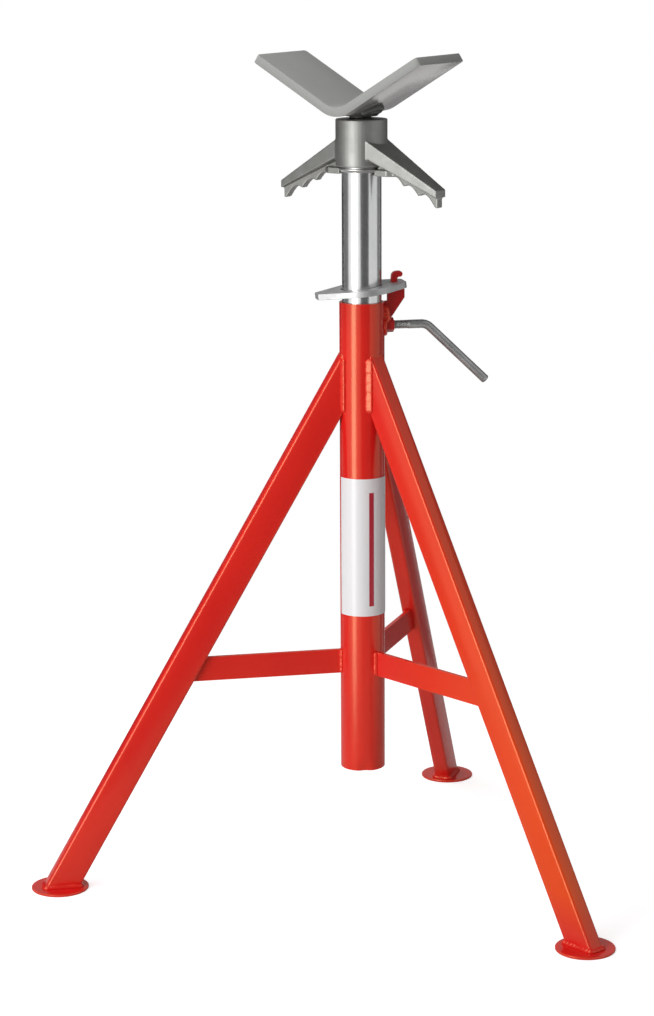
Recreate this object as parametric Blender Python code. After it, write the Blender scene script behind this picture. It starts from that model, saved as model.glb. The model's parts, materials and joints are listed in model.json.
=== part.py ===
"""Pipe jack stand with a V saddle.

Three legs carry a fixed mast tube. An inner tube slides in it, held by a tilting lock plate and by a clamp
screw with a bent handle. On top, a nut with two arms turns on a jack screw and lifts the V saddle.

Metres, +Z up, floor at z = 0. The legs point along 90, 210 and 330 degrees about the mast. The origin lies on
the floor under the middle of the stand's bounding box, so the mast stands a quarter of the foot circle's
radius from it, along -Y.
"""

import math

import bmesh
import bpy
from mathutils import Matrix, Vector

# Clearances, and how far a cutter runs past what it cuts
GAP = 0.0003
SLIDE_CLEARANCE = 0.00028
TURN_CLEARANCE = 0.0004
OVERRUN = 0.01
MERGE_DISTANCE = 0.000001
ROUND_BEVEL_SHARE = 0.5

# Sides of round pieces, and steps of curves
TUBE_SIDES = 48
PIN_SIDES = 24
ARC_STEPS = 8
GRIP_HOLLOW_STEPS = 6

# Mast tube: one and a half inch pipe
TUBE_DIAMETER = 0.04826
TUBE_WALL = 0.00277
TUBE_LENGTH = 0.5133
TUBE_BOTTOM = 0.1166
CRIMP_DEPTH = 0.0026
CRIMP_HEIGHT = 0.0180
CRIMP_AZIMUTH = -66.0
CRIMP_HALF_SPAN = 22.0
CRIMP_COUNT = 3
CRIMP_HEIGHT_SHARES = (0.0, 0.3, 0.65, 1.0)

# Legs of rectangular tube, and their pads
LEG_AZIMUTHS = {"left": 210.0, "right": 330.0, "back": 90.0}
LEG_TOP_BELOW_TUBE_TOP = 0.0469
LEG_WIDTH = 0.0184
LEG_DEPTH = 0.0334
LEG_WALL = 0.0020
LEG_CORNER = 0.0028
LEG_CORNER_STEPS = 3
FOOT_CIRCLE_RADIUS = 0.3366
PAD_DIAMETER = 0.0618
PAD_THICKNESS = 0.0025
PAD_CHAMFER = 0.0005

# Flat-bar braces between legs and mast
BRACE_TOP = 0.2500
BRACE_HEIGHT = 0.0265
BRACE_THICKNESS = 0.0048

# Weld beads
LEG_WELD_RADIUS = 0.0028
LEG_WELD_TOP_DROP = 0.0060
LEG_WELD_FOOT_RISE = 0.0050
BRACE_WELD_RADIUS = 0.0021
BRACE_LEG_WELD_RADIUS = 0.0017
BRACE_LEG_WELD_SIDES = {"left": -1, "right": 1, "back": 1}
FOOT_WELD_RADIUS = 0.0016
HOOK_WELD_RADIUS = 0.0022
NUT_WELD_RADIUS = 0.0010
SADDLE_WELD_RADIUS = 0.0016
SADDLE_WELD_SWEEP = 44.0
WELD_CORNER_STEPS = 3

# Label
LABEL_BOTTOM = 0.2911
LABEL_HEIGHT = 0.1510
LABEL_THICKNESS = 0.0003
LABEL_START = -139.0
LABEL_SPAN = 186.0

# Clamp nut and clamp screw, on the side between the right and the back leg
CLAMP_AZIMUTH = 30.0
CLAMP_BELOW_TUBE_TOP = 0.0259
CLAMP_NUT_CORNERS = 0.0163
CLAMP_NUT_THICKNESS = 0.0097
CLAMP_ROD_DIAMETER = 0.0094
CLAMP_ROD_REACH = 0.0461
CLAMP_ROD_TAIL = 0.0912
CLAMP_BEND_ANGLE = 43.8
CLAMP_BEND_RADIUS = 0.0140

# Hook bracket: its outline stands on the mast wall, in shares of its depth and its height
HOOK_THICKNESS = 0.0050
HOOK_DEPTH = 0.0217
HOOK_HEIGHT = 0.0488
HOOK_ABOVE_TUBE = 0.0316
HOOK_STEM_SHARES = (0.33, 0.64)
HOOK_CORNER_SHARE = 0.42
HOOK_FOOT_SHARE = 0.35
HOOK_THROAT_SHARES = (0.14, 0.52)
HOOK_NOSE_SHARES = ((0.64, 0.85), (0.70, 0.872), (0.80, 0.868), (0.88, 0.895), (0.90, 0.94),
                    (0.86, 0.98), (0.76, 1.0), (0.58, 1.0), (0.44, 0.98), (0.35, 0.93), (0.33, 0.87))

# Lock plate, tilted on the hook's stem
PLATE_THICKNESS = 0.00635
PLATE_TILT = 6.8
PLATE_PIVOT_ABOVE_TUBE = 0.0169
PLATE_RING_DIAMETER = 0.0730
PLATE_RING_SHIFT = 0.0040
PLATE_TOE_REACH = 0.0465
PLATE_TOE_WIDTH = 0.0370
PLATE_TOE_CORNER = 0.0090
PLATE_TAIL_REACH = 0.0495
PLATE_TAIL_WIDTH = 0.0170
PLATE_TAIL_CORNER = 0.0015
PLATE_HOLE_CLEARANCE = 0.0004
PLATE_SLOT_CLEARANCE = 0.0005
PLATE_SHOULDER_DROP = 0.0013

# Inner tube and its thrust collar
INNER_WALL = 0.00356
INNER_LENGTH = 0.5250
INNER_SHOWN = 0.1430
COLLAR_DIAMETER = 0.0480
COLLAR_THICKNESS = 0.0030
COLLAR_CHAMFER = 0.0025

# Adjusting nut: hub and two arms
NUT_AZIMUTH = -20.0
HUB_DIAMETER = 0.0547
HUB_HEIGHT = 0.0492
HUB_CHAMFER = 0.0006
ARM_REACH = 0.1030
ARM_TIP_BELOW_HUB = 0.0199
ARM_TOP_SLOPE = 30.0
ARM_UNDER_SLOPE = 24.0
ARM_TIP_DEPTH = 0.0080
ARM_TIP_WIDTH = 0.0170
ARM_ROOT_WIDTH = 0.0392
GRIP_THICKNESS = 0.0088
GRIP_DEPTH = 0.0120
GRIP_PEAK_SHARES = ((0.42, 0.60), (0.563, 0.86), (0.748, 0.90), (0.945, 0.90))
GRIP_HOLLOW_SHARES = (0.26, 0.42, 0.50)
GRIP_NUB_SHARES = ((0.955, 0.98), (0.975, 0.98), (0.99, 0.86))
LIP_LENGTH = 0.0225
LIP_WIDTH = 0.0170
LIP_BELOW_HUB = 0.0092
LIP_THICKNESS = 0.0065
LIP_CLEARANCE = 0.0006

# Jack screw and its stop ring
SCREW_DIAMETER = 0.0254
SCREW_TRAVEL = 0.1500
SCREW_TRAVEL_MARGIN = 0.0030
SCREW_END = 0.0020
STOP_THICKNESS = 0.0060
STOP_CLEARANCE = 0.0010

# Boss and V saddle
BOSS_DIAMETER = 0.0405
BOSS_ABOVE_HUB = 0.0028
BOSS_CHAMFER = 0.0036
SADDLE_ABOVE_HUB = 0.0048
SADDLE_AZIMUTH = -9.58
SADDLE_OFFSET = 0.0030
SADDLE_SLOPE = 31.47
SADDLE_THICKNESS = 0.0095
SADDLE_BEND_RADIUS = 0.0200
SADDLE_WING_LENGTH = 0.1134
SADDLE_WIDTH = 0.1053
SADDLE_CORNER = 0.0040
SADDLE_EDGE = 0.0008

# Places and sizes that follow from the values above
TUBE_RADIUS = TUBE_DIAMETER / 2
TUBE_TOP = TUBE_BOTTOM + TUBE_LENGTH
BORE_RADIUS = TUBE_RADIUS - TUBE_WALL
LEG_APEX_HEIGHT = TUBE_TOP - LEG_TOP_BELOW_TUBE_TOP
LEG_LEAN = math.degrees(math.atan2(FOOT_CIRCLE_RADIUS, LEG_APEX_HEIGHT))
INNER_RADIUS = BORE_RADIUS - SLIDE_CLEARANCE
INNER_BORE_RADIUS = INNER_RADIUS - INNER_WALL
INNER_TOP = TUBE_TOP + INNER_SHOWN
HUB_BOTTOM = INNER_TOP + GAP
HUB_TOP = HUB_BOTTOM + HUB_HEIGHT
SCREW_RADIUS = SCREW_DIAMETER / 2
BOSS_BOTTOM = HUB_TOP + BOSS_ABOVE_HUB
CLAMP_HEIGHT = TUBE_TOP - CLAMP_BELOW_TUBE_TOP
HOOK_TOP = TUBE_TOP + HOOK_ABOVE_TUBE
HOOK_BOTTOM = HOOK_TOP - HOOK_HEIGHT
PIVOT_REACH = TUBE_RADIUS + HOOK_DEPTH * sum(HOOK_STEM_SHARES) / len(HOOK_STEM_SHARES)
PIVOT_HEIGHT = TUBE_TOP + PLATE_PIVOT_ABOVE_TUBE

# Colours from the photo: linear base colour, roughness, metallic
FINISHES = {
    "red_paint": ((0.74, 0.035, 0.018), 0.30, 0.0),
    "crimson_paint": ((0.36, 0.010, 0.016), 0.38, 0.0),
    "zinc": ((0.72, 0.73, 0.72), 0.22, 1.0),
    "casting_grey": ((0.30, 0.31, 0.29), 0.48, 0.6),
    "saddle_grey": ((0.27, 0.28, 0.265), 0.50, 0.4),
    "screw_steel": ((0.35, 0.34, 0.32), 0.35, 1.0),
    "label_white": ((0.85, 0.85, 0.86), 0.35, 0.0),
}


def clear_scene():
    for item in list(bpy.data.objects):
        bpy.data.objects.remove(item, do_unlink=True)


def finish(name):
    """The Principled material of that name, made once."""
    found = bpy.data.materials.get(name)
    if found:
        return found
    color, roughness, metallic = FINISHES[name]
    material = bpy.data.materials.new(name)
    material.use_nodes = True
    shader = next(n for n in material.node_tree.nodes if n.type == "BSDF_PRINCIPLED")
    shader.inputs["Base Color"].default_value = (*color, 1.0)
    shader.inputs["Roughness"].default_value = roughness
    shader.inputs["Metallic"].default_value = metallic
    return material


def link(name, data, parent=None):
    piece = bpy.data.objects.new(name, data)
    bpy.context.scene.collection.objects.link(piece)
    piece.parent = parent
    return piece


def axis_empty(name, location, azimuth=0.0, parent=None):
    """An empty on a joint's axis, turned about Z by azimuth degrees."""
    guide = link(name, None, parent)
    guide.location = location
    guide.rotation_euler = (0.0, 0.0, math.radians(azimuth))
    return guide


def mesh_from(bm, name, smooth=False):
    bmesh.ops.recalc_face_normals(bm, faces=bm.faces)
    mesh = bpy.data.meshes.new(name)
    bm.to_mesh(mesh)
    bm.free()
    if smooth:
        mesh.shade_smooth()
        mesh.set_sharp_from_angle(angle=math.radians(35.0))
    return mesh


def piece(name, mesh, material, parent):
    made = link(name, mesh, parent)
    made.data.materials.append(finish(material))
    return made


def shared_piece(name, mesh, parent):
    """A further copy of a mesh that already has its material."""
    return link(name, mesh, parent)


def cutter(name, mesh, parent):
    guide = link(name, mesh, parent)
    guide.hide_render = True
    guide.display_type = "WIRE"
    return guide


def boolean(target, other, operation="DIFFERENCE"):
    step = target.modifiers.new(operation.lower() + "_" + other.name, "BOOLEAN")
    step.operation = operation
    step.solver = "EXACT"
    step.object = other


def edge_bevel(target, width):
    step = target.modifiers.new("edges", "BEVEL")
    step.width = width
    step.segments = 2
    step.limit_method = "ANGLE"
    step.angle_limit = math.radians(40.0)


def turned(name, profile, sides, smooth=True):
    """A solid turned about Z from a closed profile of (radius, height) points."""
    bm = bmesh.new()
    ring = [bm.verts.new((radius, 0.0, height)) for radius, height in profile]
    edges = [bm.edges.new((a, b)) for a, b in zip(ring, ring[1:] + ring[:1])]
    bmesh.ops.spin(bm, geom=ring + edges, cent=(0.0, 0.0, 0.0), axis=(0.0, 0.0, 1.0),
                   angle=2.0 * math.pi, steps=sides, use_merge=True)
    bmesh.ops.remove_doubles(bm, verts=bm.verts, dist=MERGE_DISTANCE)
    bmesh.ops.dissolve_degenerate(bm, edges=bm.edges, dist=MERGE_DISTANCE)
    return mesh_from(bm, name, smooth)


def cylinder(name, radius, low, high, sides=TUBE_SIDES):
    return turned(name, ((0.0, low), (radius, low), (radius, high), (0.0, high)), sides)


def prism(name, outline, low, high):
    """A solid with the (x, y) outline, from low to high along Z."""
    bm = bmesh.new()
    base = bm.faces.new([bm.verts.new((x, y, low)) for x, y in outline])
    made = bmesh.ops.extrude_face_region(bm, geom=[base])
    top = [v for v in made["geom"] if isinstance(v, bmesh.types.BMVert)]
    bmesh.ops.translate(bm, verts=top, vec=(0.0, 0.0, high - low))
    return mesh_from(bm, name)


def upright(mesh):
    """Turns a prism so that its outline's x stays along X and its outline's y rises along Z."""
    mesh.transform(Matrix.Rotation(math.radians(90.0), 4, "X"))
    return mesh


def arc(centre, radius, start, end, steps):
    """Points of a circular arc, both ends included, angles in degrees."""
    points = []
    for index in range(steps + 1):
        angle = math.radians(start + (end - start) * index / steps)
        points.append((centre[0] + radius * math.cos(angle), centre[1] + radius * math.sin(angle)))
    return points


def hull(points):
    """The outline that a string drawn tight round the points takes, anticlockwise."""
    ordered = sorted(points)
    outline = []
    for run in (ordered, ordered[::-1]):
        side = []
        for point in run:
            while len(side) > 1:
                (ax, ay), (bx, by) = side[-2:]
                if (bx - ax) * (point[1] - ay) - (by - ay) * (point[0] - ax) > MERGE_DISTANCE ** 2:
                    break
                side.pop()
            side.append(point)
        outline += side[:-1]
    return outline


def rounded_rectangle(width, height, corner, steps):
    """Outline about the origin, width along x."""
    points = []
    for turn, (sx, sy) in enumerate(((1, 1), (-1, 1), (-1, -1), (1, -1))):
        centre = (sx * (width / 2 - corner), sy * (height / 2 - corner))
        points += arc(centre, corner, 90.0 * turn, 90.0 * (turn + 1), steps)
    return points


def bead(name, points, closed, radius, material, parent):
    """A round weld bead along a path of points."""
    curve = bpy.data.curves.new(name, "CURVE")
    curve.dimensions = "3D"
    curve.bevel_depth = radius
    curve.bevel_resolution = 1
    curve.use_fill_caps = True
    spline = curve.splines.new("POLY")
    spline.points.add(len(points) - 1)
    for target, point in zip(spline.points, points):
        target.co = (*point, 1.0)
    spline.use_cyclic_u = closed
    return piece(name, curve, material, parent)


def bead_outline(width, height, stand_off):
    """The path of a bead's middle round a rectangle, at that distance from its sides."""
    return rounded_rectangle(width + 2 * stand_off, height + 2 * stand_off, stand_off, WELD_CORNER_STEPS)


def in_leg_plane(azimuth, reach, across, height):
    """A point given by its distance from the mast axis along an azimuth, its distance across, and its height."""
    angle = math.radians(azimuth)
    return Vector((reach * math.cos(angle) - across * math.sin(angle),
                   reach * math.sin(angle) + across * math.cos(angle), height))


def corner_reach(across, radius):
    """How far out a bead of that radius lies, tucked against the mast wall at that distance across."""
    return math.sqrt((TUBE_RADIUS + GAP + radius) ** 2 - across ** 2)


def leg_line_reach(height, offset=0.0):
    """Distance of the leg's centreline from the mast axis at a height; offset is square to the leg, outward."""
    lean = math.radians(LEG_LEAN)
    return FOOT_CIRCLE_RADIUS - height * math.tan(lean) + offset / math.cos(lean)


def leg_line_height(reach, offset=0.0):
    lean = math.radians(LEG_LEAN)
    return (FOOT_CIRCLE_RADIUS - reach) / math.tan(lean) + offset / math.sin(lean)


# Mast tube

def wall_radius(angle, height, nominal):
    """Radius of the mast's outer or inner wall, dented by the crimps near its lower end."""
    fade = max(0.0, 1.0 - (height - TUBE_BOTTOM) / CRIMP_HEIGHT)
    pitch = 360.0 / CRIMP_COUNT
    away = (math.degrees(angle) - CRIMP_AZIMUTH + pitch / 2) % pitch - pitch / 2
    if abs(away) > CRIMP_HALF_SPAN:
        return nominal
    dent = (1.0 + math.cos(math.pi * away / CRIMP_HALF_SPAN)) / 2
    return nominal - CRIMP_DEPTH * dent * fade * fade * (3.0 - 2.0 * fade)


def mast_tube(mast):
    heights = [TUBE_BOTTOM + CRIMP_HEIGHT * share for share in CRIMP_HEIGHT_SHARES] + [TUBE_TOP]
    bm = bmesh.new()
    rings = []
    walls = [(TUBE_RADIUS, height) for height in heights]
    walls += [(BORE_RADIUS, height) for height in reversed(heights)]
    for nominal, height in walls:
        ring = []
        for index in range(TUBE_SIDES):
            angle = 2.0 * math.pi * index / TUBE_SIDES
            radius = wall_radius(angle, height, nominal)
            ring.append(bm.verts.new((radius * math.cos(angle), radius * math.sin(angle), height)))
        rings.append(ring)
    for lower, upper in zip(rings, rings[1:] + rings[:1]):
        for a, b, c, d in zip(lower, lower[1:] + lower[:1], upper[1:] + upper[:1], upper):
            bm.faces.new((a, b, c, d))
    tube = piece("outer_tube", mesh_from(bm, "outer_tube", smooth=True), "red_paint", mast)
    hole = cylinder("clamp_hole", CLAMP_ROD_DIAMETER / 2 + TURN_CLEARANCE, 0.0, TUBE_DIAMETER, PIN_SIDES)
    guide = cutter("clamp_hole_cutter", hole, mast)
    guide.rotation_euler = (0.0, math.radians(90.0), math.radians(CLAMP_AZIMUTH))
    guide.location = (0.0, 0.0, CLAMP_HEIGHT)
    boolean(tube, guide)


# Legs, pads and braces

def leg_mesh():
    """A rectangular tube in the plane y = 0, from the mast axis down to the pad."""
    lean = math.radians(LEG_LEAN)
    along = Vector((math.sin(lean), 0.0, -math.cos(lean)))
    outward = Vector((math.cos(lean), 0.0, math.sin(lean)))
    across = Vector((0.0, 1.0, 0.0))
    foot = Vector((FOOT_CIRCLE_RADIUS, 0.0, 0.0))
    floor = PAD_THICKNESS + GAP
    loops = []
    for shrink in (0.0, LEG_WALL):
        outline = rounded_rectangle(LEG_WIDTH - 2 * shrink, LEG_DEPTH - 2 * shrink,
                                    max(LEG_CORNER - shrink, LEG_CORNER / 4), LEG_CORNER_STEPS)
        top = []
        bottom = []
        for u, v in outline:
            start = foot + across * u + outward * v
            top.append(start - along * (start.x / along.x))
            bottom.append(start + along * ((floor - start.z) / along.z))
        loops.append((top, bottom))
    (outer_top, outer_bottom), (inner_top, inner_bottom) = loops
    bm = bmesh.new()
    rings = [[bm.verts.new(p) for p in loop] for loop in (outer_top, outer_bottom, inner_bottom, inner_top)]
    for first, second in zip(rings, rings[1:] + rings[:1]):
        for a, b, c, d in zip(first, first[1:] + first[:1], second[1:] + second[:1], second):
            bm.faces.new((a, b, c, d))
    return mesh_from(bm, "leg", smooth=True)


def pad_mesh():
    radius = PAD_DIAMETER / 2
    profile = ((0.0, 0.0), (radius - PAD_CHAMFER, 0.0), (radius, PAD_CHAMFER),
               (radius, PAD_THICKNESS - PAD_CHAMFER), (radius - PAD_CHAMFER, PAD_THICKNESS), (0.0, PAD_THICKNESS))
    return turned("pad", profile, TUBE_SIDES)


def brace_mesh():
    """A flat bar in the plane y = 0, square against the mast and mitred against the leg's inner face."""
    low = BRACE_TOP - BRACE_HEIGHT
    start = TUBE_RADIUS + GAP
    offset = -(LEG_DEPTH / 2 + GAP)
    outline = ((start, low), (leg_line_reach(low, offset), low),
               (leg_line_reach(BRACE_TOP, offset), BRACE_TOP), (start, BRACE_TOP))
    return upright(prism("brace", outline, -BRACE_THICKNESS / 2, BRACE_THICKNESS / 2))


def legs(mast):
    cut = cutter("mast_cutter", cylinder("mast_cut", TUBE_RADIUS + GAP, TUBE_BOTTOM, TUBE_TOP + OVERRUN), mast)
    leg = leg_mesh()
    pad = pad_mesh()
    brace = brace_mesh()
    for mesh in (leg, pad, brace):
        mesh.materials.append(finish("red_paint"))
    for side, azimuth in LEG_AZIMUTHS.items():
        turn = (0.0, 0.0, math.radians(azimuth))
        one = shared_piece("leg_" + side, leg, mast)
        one.rotation_euler = turn
        boolean(one, cut)
        one = shared_piece("brace_" + side, brace, mast)
        one.rotation_euler = turn
        one = shared_piece("foot_pad_" + side, pad, mast)
        one.location = in_leg_plane(azimuth, FOOT_CIRCLE_RADIUS, 0.0, 0.0)


def leg_welds(mast):
    """A bead down each side of each leg, where it meets the mast."""
    across = LEG_WIDTH / 2 + GAP + LEG_WELD_RADIUS
    reach = corner_reach(across, LEG_WELD_RADIUS)
    heights = (leg_line_height(reach, -LEG_DEPTH / 2) + LEG_WELD_FOOT_RISE,
               leg_line_height(reach, LEG_DEPTH / 2) - LEG_WELD_TOP_DROP)
    for side, azimuth in LEG_AZIMUTHS.items():
        for number, sign in enumerate((-1, 1), start=1):
            path = [in_leg_plane(azimuth, reach, sign * across, height) for height in heights]
            bead("leg_weld_" + side + "_" + str(number), path, False, LEG_WELD_RADIUS, "red_paint", mast)


def brace_welds(mast):
    """Beads on both sides of each brace at the mast, and on one side of it at the leg."""
    heights = (BRACE_TOP - BRACE_HEIGHT, BRACE_TOP)
    for side, azimuth in LEG_AZIMUTHS.items():
        for number, sign in enumerate((-1, 1), start=1):
            across = sign * (BRACE_THICKNESS / 2 + GAP + BRACE_WELD_RADIUS)
            reach = corner_reach(across, BRACE_WELD_RADIUS)
            path = [in_leg_plane(azimuth, reach, across, height) for height in heights]
            bead("brace_mast_weld_" + side + "_" + str(number), path, False, BRACE_WELD_RADIUS, "red_paint", mast)
        across = BRACE_LEG_WELD_SIDES[side] * (BRACE_THICKNESS / 2 + GAP + BRACE_LEG_WELD_RADIUS)
        offset = -LEG_DEPTH / 2 - GAP - BRACE_LEG_WELD_RADIUS
        path = [in_leg_plane(azimuth, leg_line_reach(height, offset), across, height) for height in heights]
        bead("brace_leg_weld_" + side, path, False, BRACE_LEG_WELD_RADIUS, "red_paint", mast)


def foot_welds(mast):
    """A bead round each leg's foot, on the pad."""
    stand_off = FOOT_WELD_RADIUS + GAP
    height = PAD_THICKNESS + stand_off
    outer = leg_line_reach(height, LEG_DEPTH / 2)
    inner = leg_line_reach(height, -LEG_DEPTH / 2)
    outline = bead_outline(outer - inner, LEG_WIDTH, stand_off / math.cos(math.radians(LEG_LEAN)))
    for side, azimuth in LEG_AZIMUTHS.items():
        path = [in_leg_plane(azimuth, (outer + inner) / 2 + x, y, height) for x, y in outline]
        bead("foot_weld_" + side, path, True, FOOT_WELD_RADIUS, "red_paint", mast)


# Label

def label(mast):
    """A thin sheet round the mast, with its bends on the mast's own edges."""
    step = 360.0 / TUBE_SIDES
    end = LABEL_START + LABEL_SPAN
    first = math.ceil(LABEL_START / step)
    last = math.floor(end / step)
    angles = [LABEL_START] + [step * index for index in range(first, last + 1)] + [end]
    inner = TUBE_RADIUS + GAP
    outer = inner + LABEL_THICKNESS
    outline = [(outer * math.cos(math.radians(a)), outer * math.sin(math.radians(a))) for a in angles]
    outline += [(inner * math.cos(math.radians(a)), inner * math.sin(math.radians(a))) for a in reversed(angles)]
    sheet = prism("label", outline, LABEL_BOTTOM, LABEL_BOTTOM + LABEL_HEIGHT)
    piece("label", sheet, "label_white", mast)


# Hook bracket, clamp nut and clamp screw

def plate_underside(reach):
    """Height of the resting lock plate's underside at a distance from the mast axis."""
    tilt = math.radians(PLATE_TILT)
    return PIVOT_HEIGHT + (reach - PIVOT_REACH) * math.tan(tilt) - PLATE_THICKNESS / 2 / math.cos(tilt)


def hook_outline():
    def point(depth_share, height_share):
        return (TUBE_RADIUS + GAP + HOOK_DEPTH * depth_share, HOOK_BOTTOM + HOOK_HEIGHT * height_share)

    shoulder = (plate_underside(PIVOT_REACH) - PLATE_SHOULDER_DROP - HOOK_BOTTOM) / HOOK_HEIGHT
    tube_share = (TUBE_TOP - HOOK_BOTTOM) / HOOK_HEIGHT
    inner, outer = HOOK_STEM_SHARES
    points = [point(0.0, 0.0), point(HOOK_FOOT_SHARE, 0.0), point(1.0, HOOK_CORNER_SHARE),
              point(1.0, shoulder), point(outer, shoulder)]
    points += [point(*shares) for shares in HOOK_NOSE_SHARES]
    throat, rise = HOOK_THROAT_SHARES
    points += [point(inner, rise), point(throat, rise), point(throat, tube_share), point(0.0, tube_share)]
    return points


def hook(clamp_side):
    mesh = upright(prism("lock_hook", hook_outline(), -HOOK_THICKNESS / 2, HOOK_THICKNESS / 2))
    piece("lock_hook", mesh, "crimson_paint", clamp_side)
    across = HOOK_THICKNESS / 2 + GAP + HOOK_WELD_RADIUS
    reach = corner_reach(across, HOOK_WELD_RADIUS)
    for side, sign in (("near", -1), ("far", 1)):
        path = [(reach, sign * across, z) for z in (HOOK_BOTTOM, TUBE_TOP - HOOK_WELD_RADIUS)]
        bead("hook_weld_" + side, path, False, HOOK_WELD_RADIUS, "crimson_paint", clamp_side)


def clamp_nut(clamp_side):
    """A hexagon nut, corner up, against the mast wall."""
    start = TUBE_RADIUS + GAP
    block = cylinder("clamp_nut", CLAMP_NUT_CORNERS / 2, 0.0, CLAMP_NUT_THICKNESS, 6)
    nut = piece("clamp_nut", block, "crimson_paint", clamp_side)
    nut.rotation_euler = (0.0, math.radians(90.0), 0.0)
    nut.location = (start, 0.0, CLAMP_HEIGHT)
    bore = cylinder("clamp_bore", CLAMP_ROD_DIAMETER / 2 + TURN_CLEARANCE, -OVERRUN,
                    CLAMP_NUT_THICKNESS + OVERRUN, PIN_SIDES)
    guide = cutter("clamp_bore_cutter", bore, clamp_side)
    guide.rotation_euler = nut.rotation_euler
    guide.location = nut.location
    boolean(nut, guide)
    stand_off = GAP + NUT_WELD_RADIUS
    side_reach = CLAMP_NUT_CORNERS / 2 + stand_off / math.cos(math.radians(30.0))
    path = []
    for turn in (-120.0, -60.0, 0.0, 60.0, 120.0):
        across = side_reach * math.sin(math.radians(turn))
        height = CLAMP_HEIGHT - side_reach * math.cos(math.radians(turn))
        path.append((corner_reach(across, NUT_WELD_RADIUS), across, height))
    bead("nut_weld", path, False, NUT_WELD_RADIUS, "crimson_paint", clamp_side)


def clamp_screw(clamp_side):
    """A bent rod: its tip stands against the inner tube, its tail is the handle and hangs down."""
    pivot = axis_empty("clamp_axis", (0.0, 0.0, CLAMP_HEIGHT), 0.0, clamp_side)
    bend = math.radians(CLAMP_BEND_ANGLE)
    vertex = TUBE_RADIUS + CLAMP_ROD_REACH
    setback = CLAMP_BEND_RADIUS * math.tan(bend / 2)
    points = [(INNER_RADIUS + GAP, 0.0)]
    points += arc((vertex - setback, -CLAMP_BEND_RADIUS), CLAMP_BEND_RADIUS, 90.0, 90.0 - CLAMP_BEND_ANGLE, ARC_STEPS)
    points.append((vertex + CLAMP_ROD_TAIL * math.cos(bend), -CLAMP_ROD_TAIL * math.sin(bend)))
    curve = bpy.data.curves.new("clamp_screw", "CURVE")
    curve.dimensions = "3D"
    curve.bevel_depth = CLAMP_ROD_DIAMETER / 2
    curve.bevel_resolution = 4
    curve.use_fill_caps = True
    spline = curve.splines.new("POLY")
    spline.points.add(len(points) - 1)
    for target, (x, z) in zip(spline.points, points):
        target.co = (x, 0.0, z, 1.0)
    piece("clamp_screw", curve, "zinc", pivot)


# Lock plate

def plate_outline(mast_x):
    """The plate's outline about its pivot: an eye round the inner tube, a blunt toe and a narrow tail."""
    rounds = [((mast_x + PLATE_RING_SHIFT, 0.0), PLATE_RING_DIAMETER / 2, TUBE_SIDES)]
    for sign in (-1, 1):
        toe = (mast_x + PLATE_TOE_REACH - PLATE_TOE_CORNER, sign * (PLATE_TOE_WIDTH / 2 - PLATE_TOE_CORNER))
        tail = (mast_x - PLATE_TAIL_REACH + PLATE_TAIL_CORNER, sign * (PLATE_TAIL_WIDTH / 2 - PLATE_TAIL_CORNER))
        rounds += [(toe, PLATE_TOE_CORNER, PIN_SIDES), (tail, PLATE_TAIL_CORNER, PIN_SIDES // 2)]
    points = []
    for centre, radius, steps in rounds:
        points += arc(centre, radius, 0.0, 360.0, steps)[1:]
    return hull(points)


def lock_plate(clamp_side):
    """A flat plate with a round hole for the inner tube and a slot for the hook's stem."""
    tilt = math.radians(PLATE_TILT)
    pivot = link("plate_pivot", None, clamp_side)
    pivot.location = (PIVOT_REACH, 0.0, PIVOT_HEIGHT)
    pivot.rotation_euler = (0.0, -tilt, 0.0)
    mast_x = -PIVOT_REACH / math.cos(tilt)
    half = PLATE_THICKNESS / 2
    plate = piece("lock_plate", prism("lock_plate", plate_outline(mast_x), -half, half), "zinc", pivot)
    lean_room = half * math.sin(tilt)
    radius = (INNER_RADIUS + lean_room + PLATE_HOLE_CLEARANCE) / math.cos(tilt)
    hole = cutter("plate_hole_cutter", cylinder("plate_hole", radius, -OVERRUN, OVERRUN), pivot)
    hole.location = (mast_x, 0.0, 0.0)
    boolean(plate, hole)
    half_x = HOOK_DEPTH * (HOOK_STEM_SHARES[1] - HOOK_STEM_SHARES[0]) / 2 + lean_room + PLATE_SLOT_CLEARANCE
    half_y = HOOK_THICKNESS / 2 + PLATE_SLOT_CLEARANCE
    corners = ((-half_x, -half_y), (half_x, -half_y), (half_x, half_y), (-half_x, half_y))
    boolean(plate, cutter("plate_slot_cutter", prism("plate_slot", corners, -OVERRUN, OVERRUN), pivot))


# Inner tube and collar

def inner_tube(mast):
    slide = axis_empty("slide_axis", (0.0, 0.0, INNER_TOP), 0.0, mast)
    profile = ((INNER_BORE_RADIUS, -INNER_LENGTH), (INNER_RADIUS, -INNER_LENGTH), (INNER_RADIUS, 0.0),
               (INNER_BORE_RADIUS, 0.0))
    piece("inner_tube", turned("inner_tube", profile, TUBE_SIDES), "zinc", slide)
    seat = INNER_RADIUS + GAP
    edge = COLLAR_DIAMETER / 2
    profile = ((seat, -COLLAR_THICKNESS - COLLAR_CHAMFER), (edge - COLLAR_CHAMFER, -COLLAR_THICKNESS - COLLAR_CHAMFER),
               (edge, -COLLAR_THICKNESS), (edge, 0.0), (seat, 0.0))
    piece("thrust_collar", turned("thrust_collar", profile, TUBE_SIDES), "zinc", slide)


# Adjusting nut

def arm_top(reach):
    tip = -ARM_TIP_BELOW_HUB
    return tip + (ARM_REACH - reach) * math.tan(math.radians(ARM_TOP_SLOPE))


def arm_underside(reach):
    tip = -ARM_TIP_BELOW_HUB - ARM_TIP_DEPTH
    return tip + (ARM_REACH - reach) * math.tan(math.radians(ARM_UNDER_SLOPE))


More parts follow.
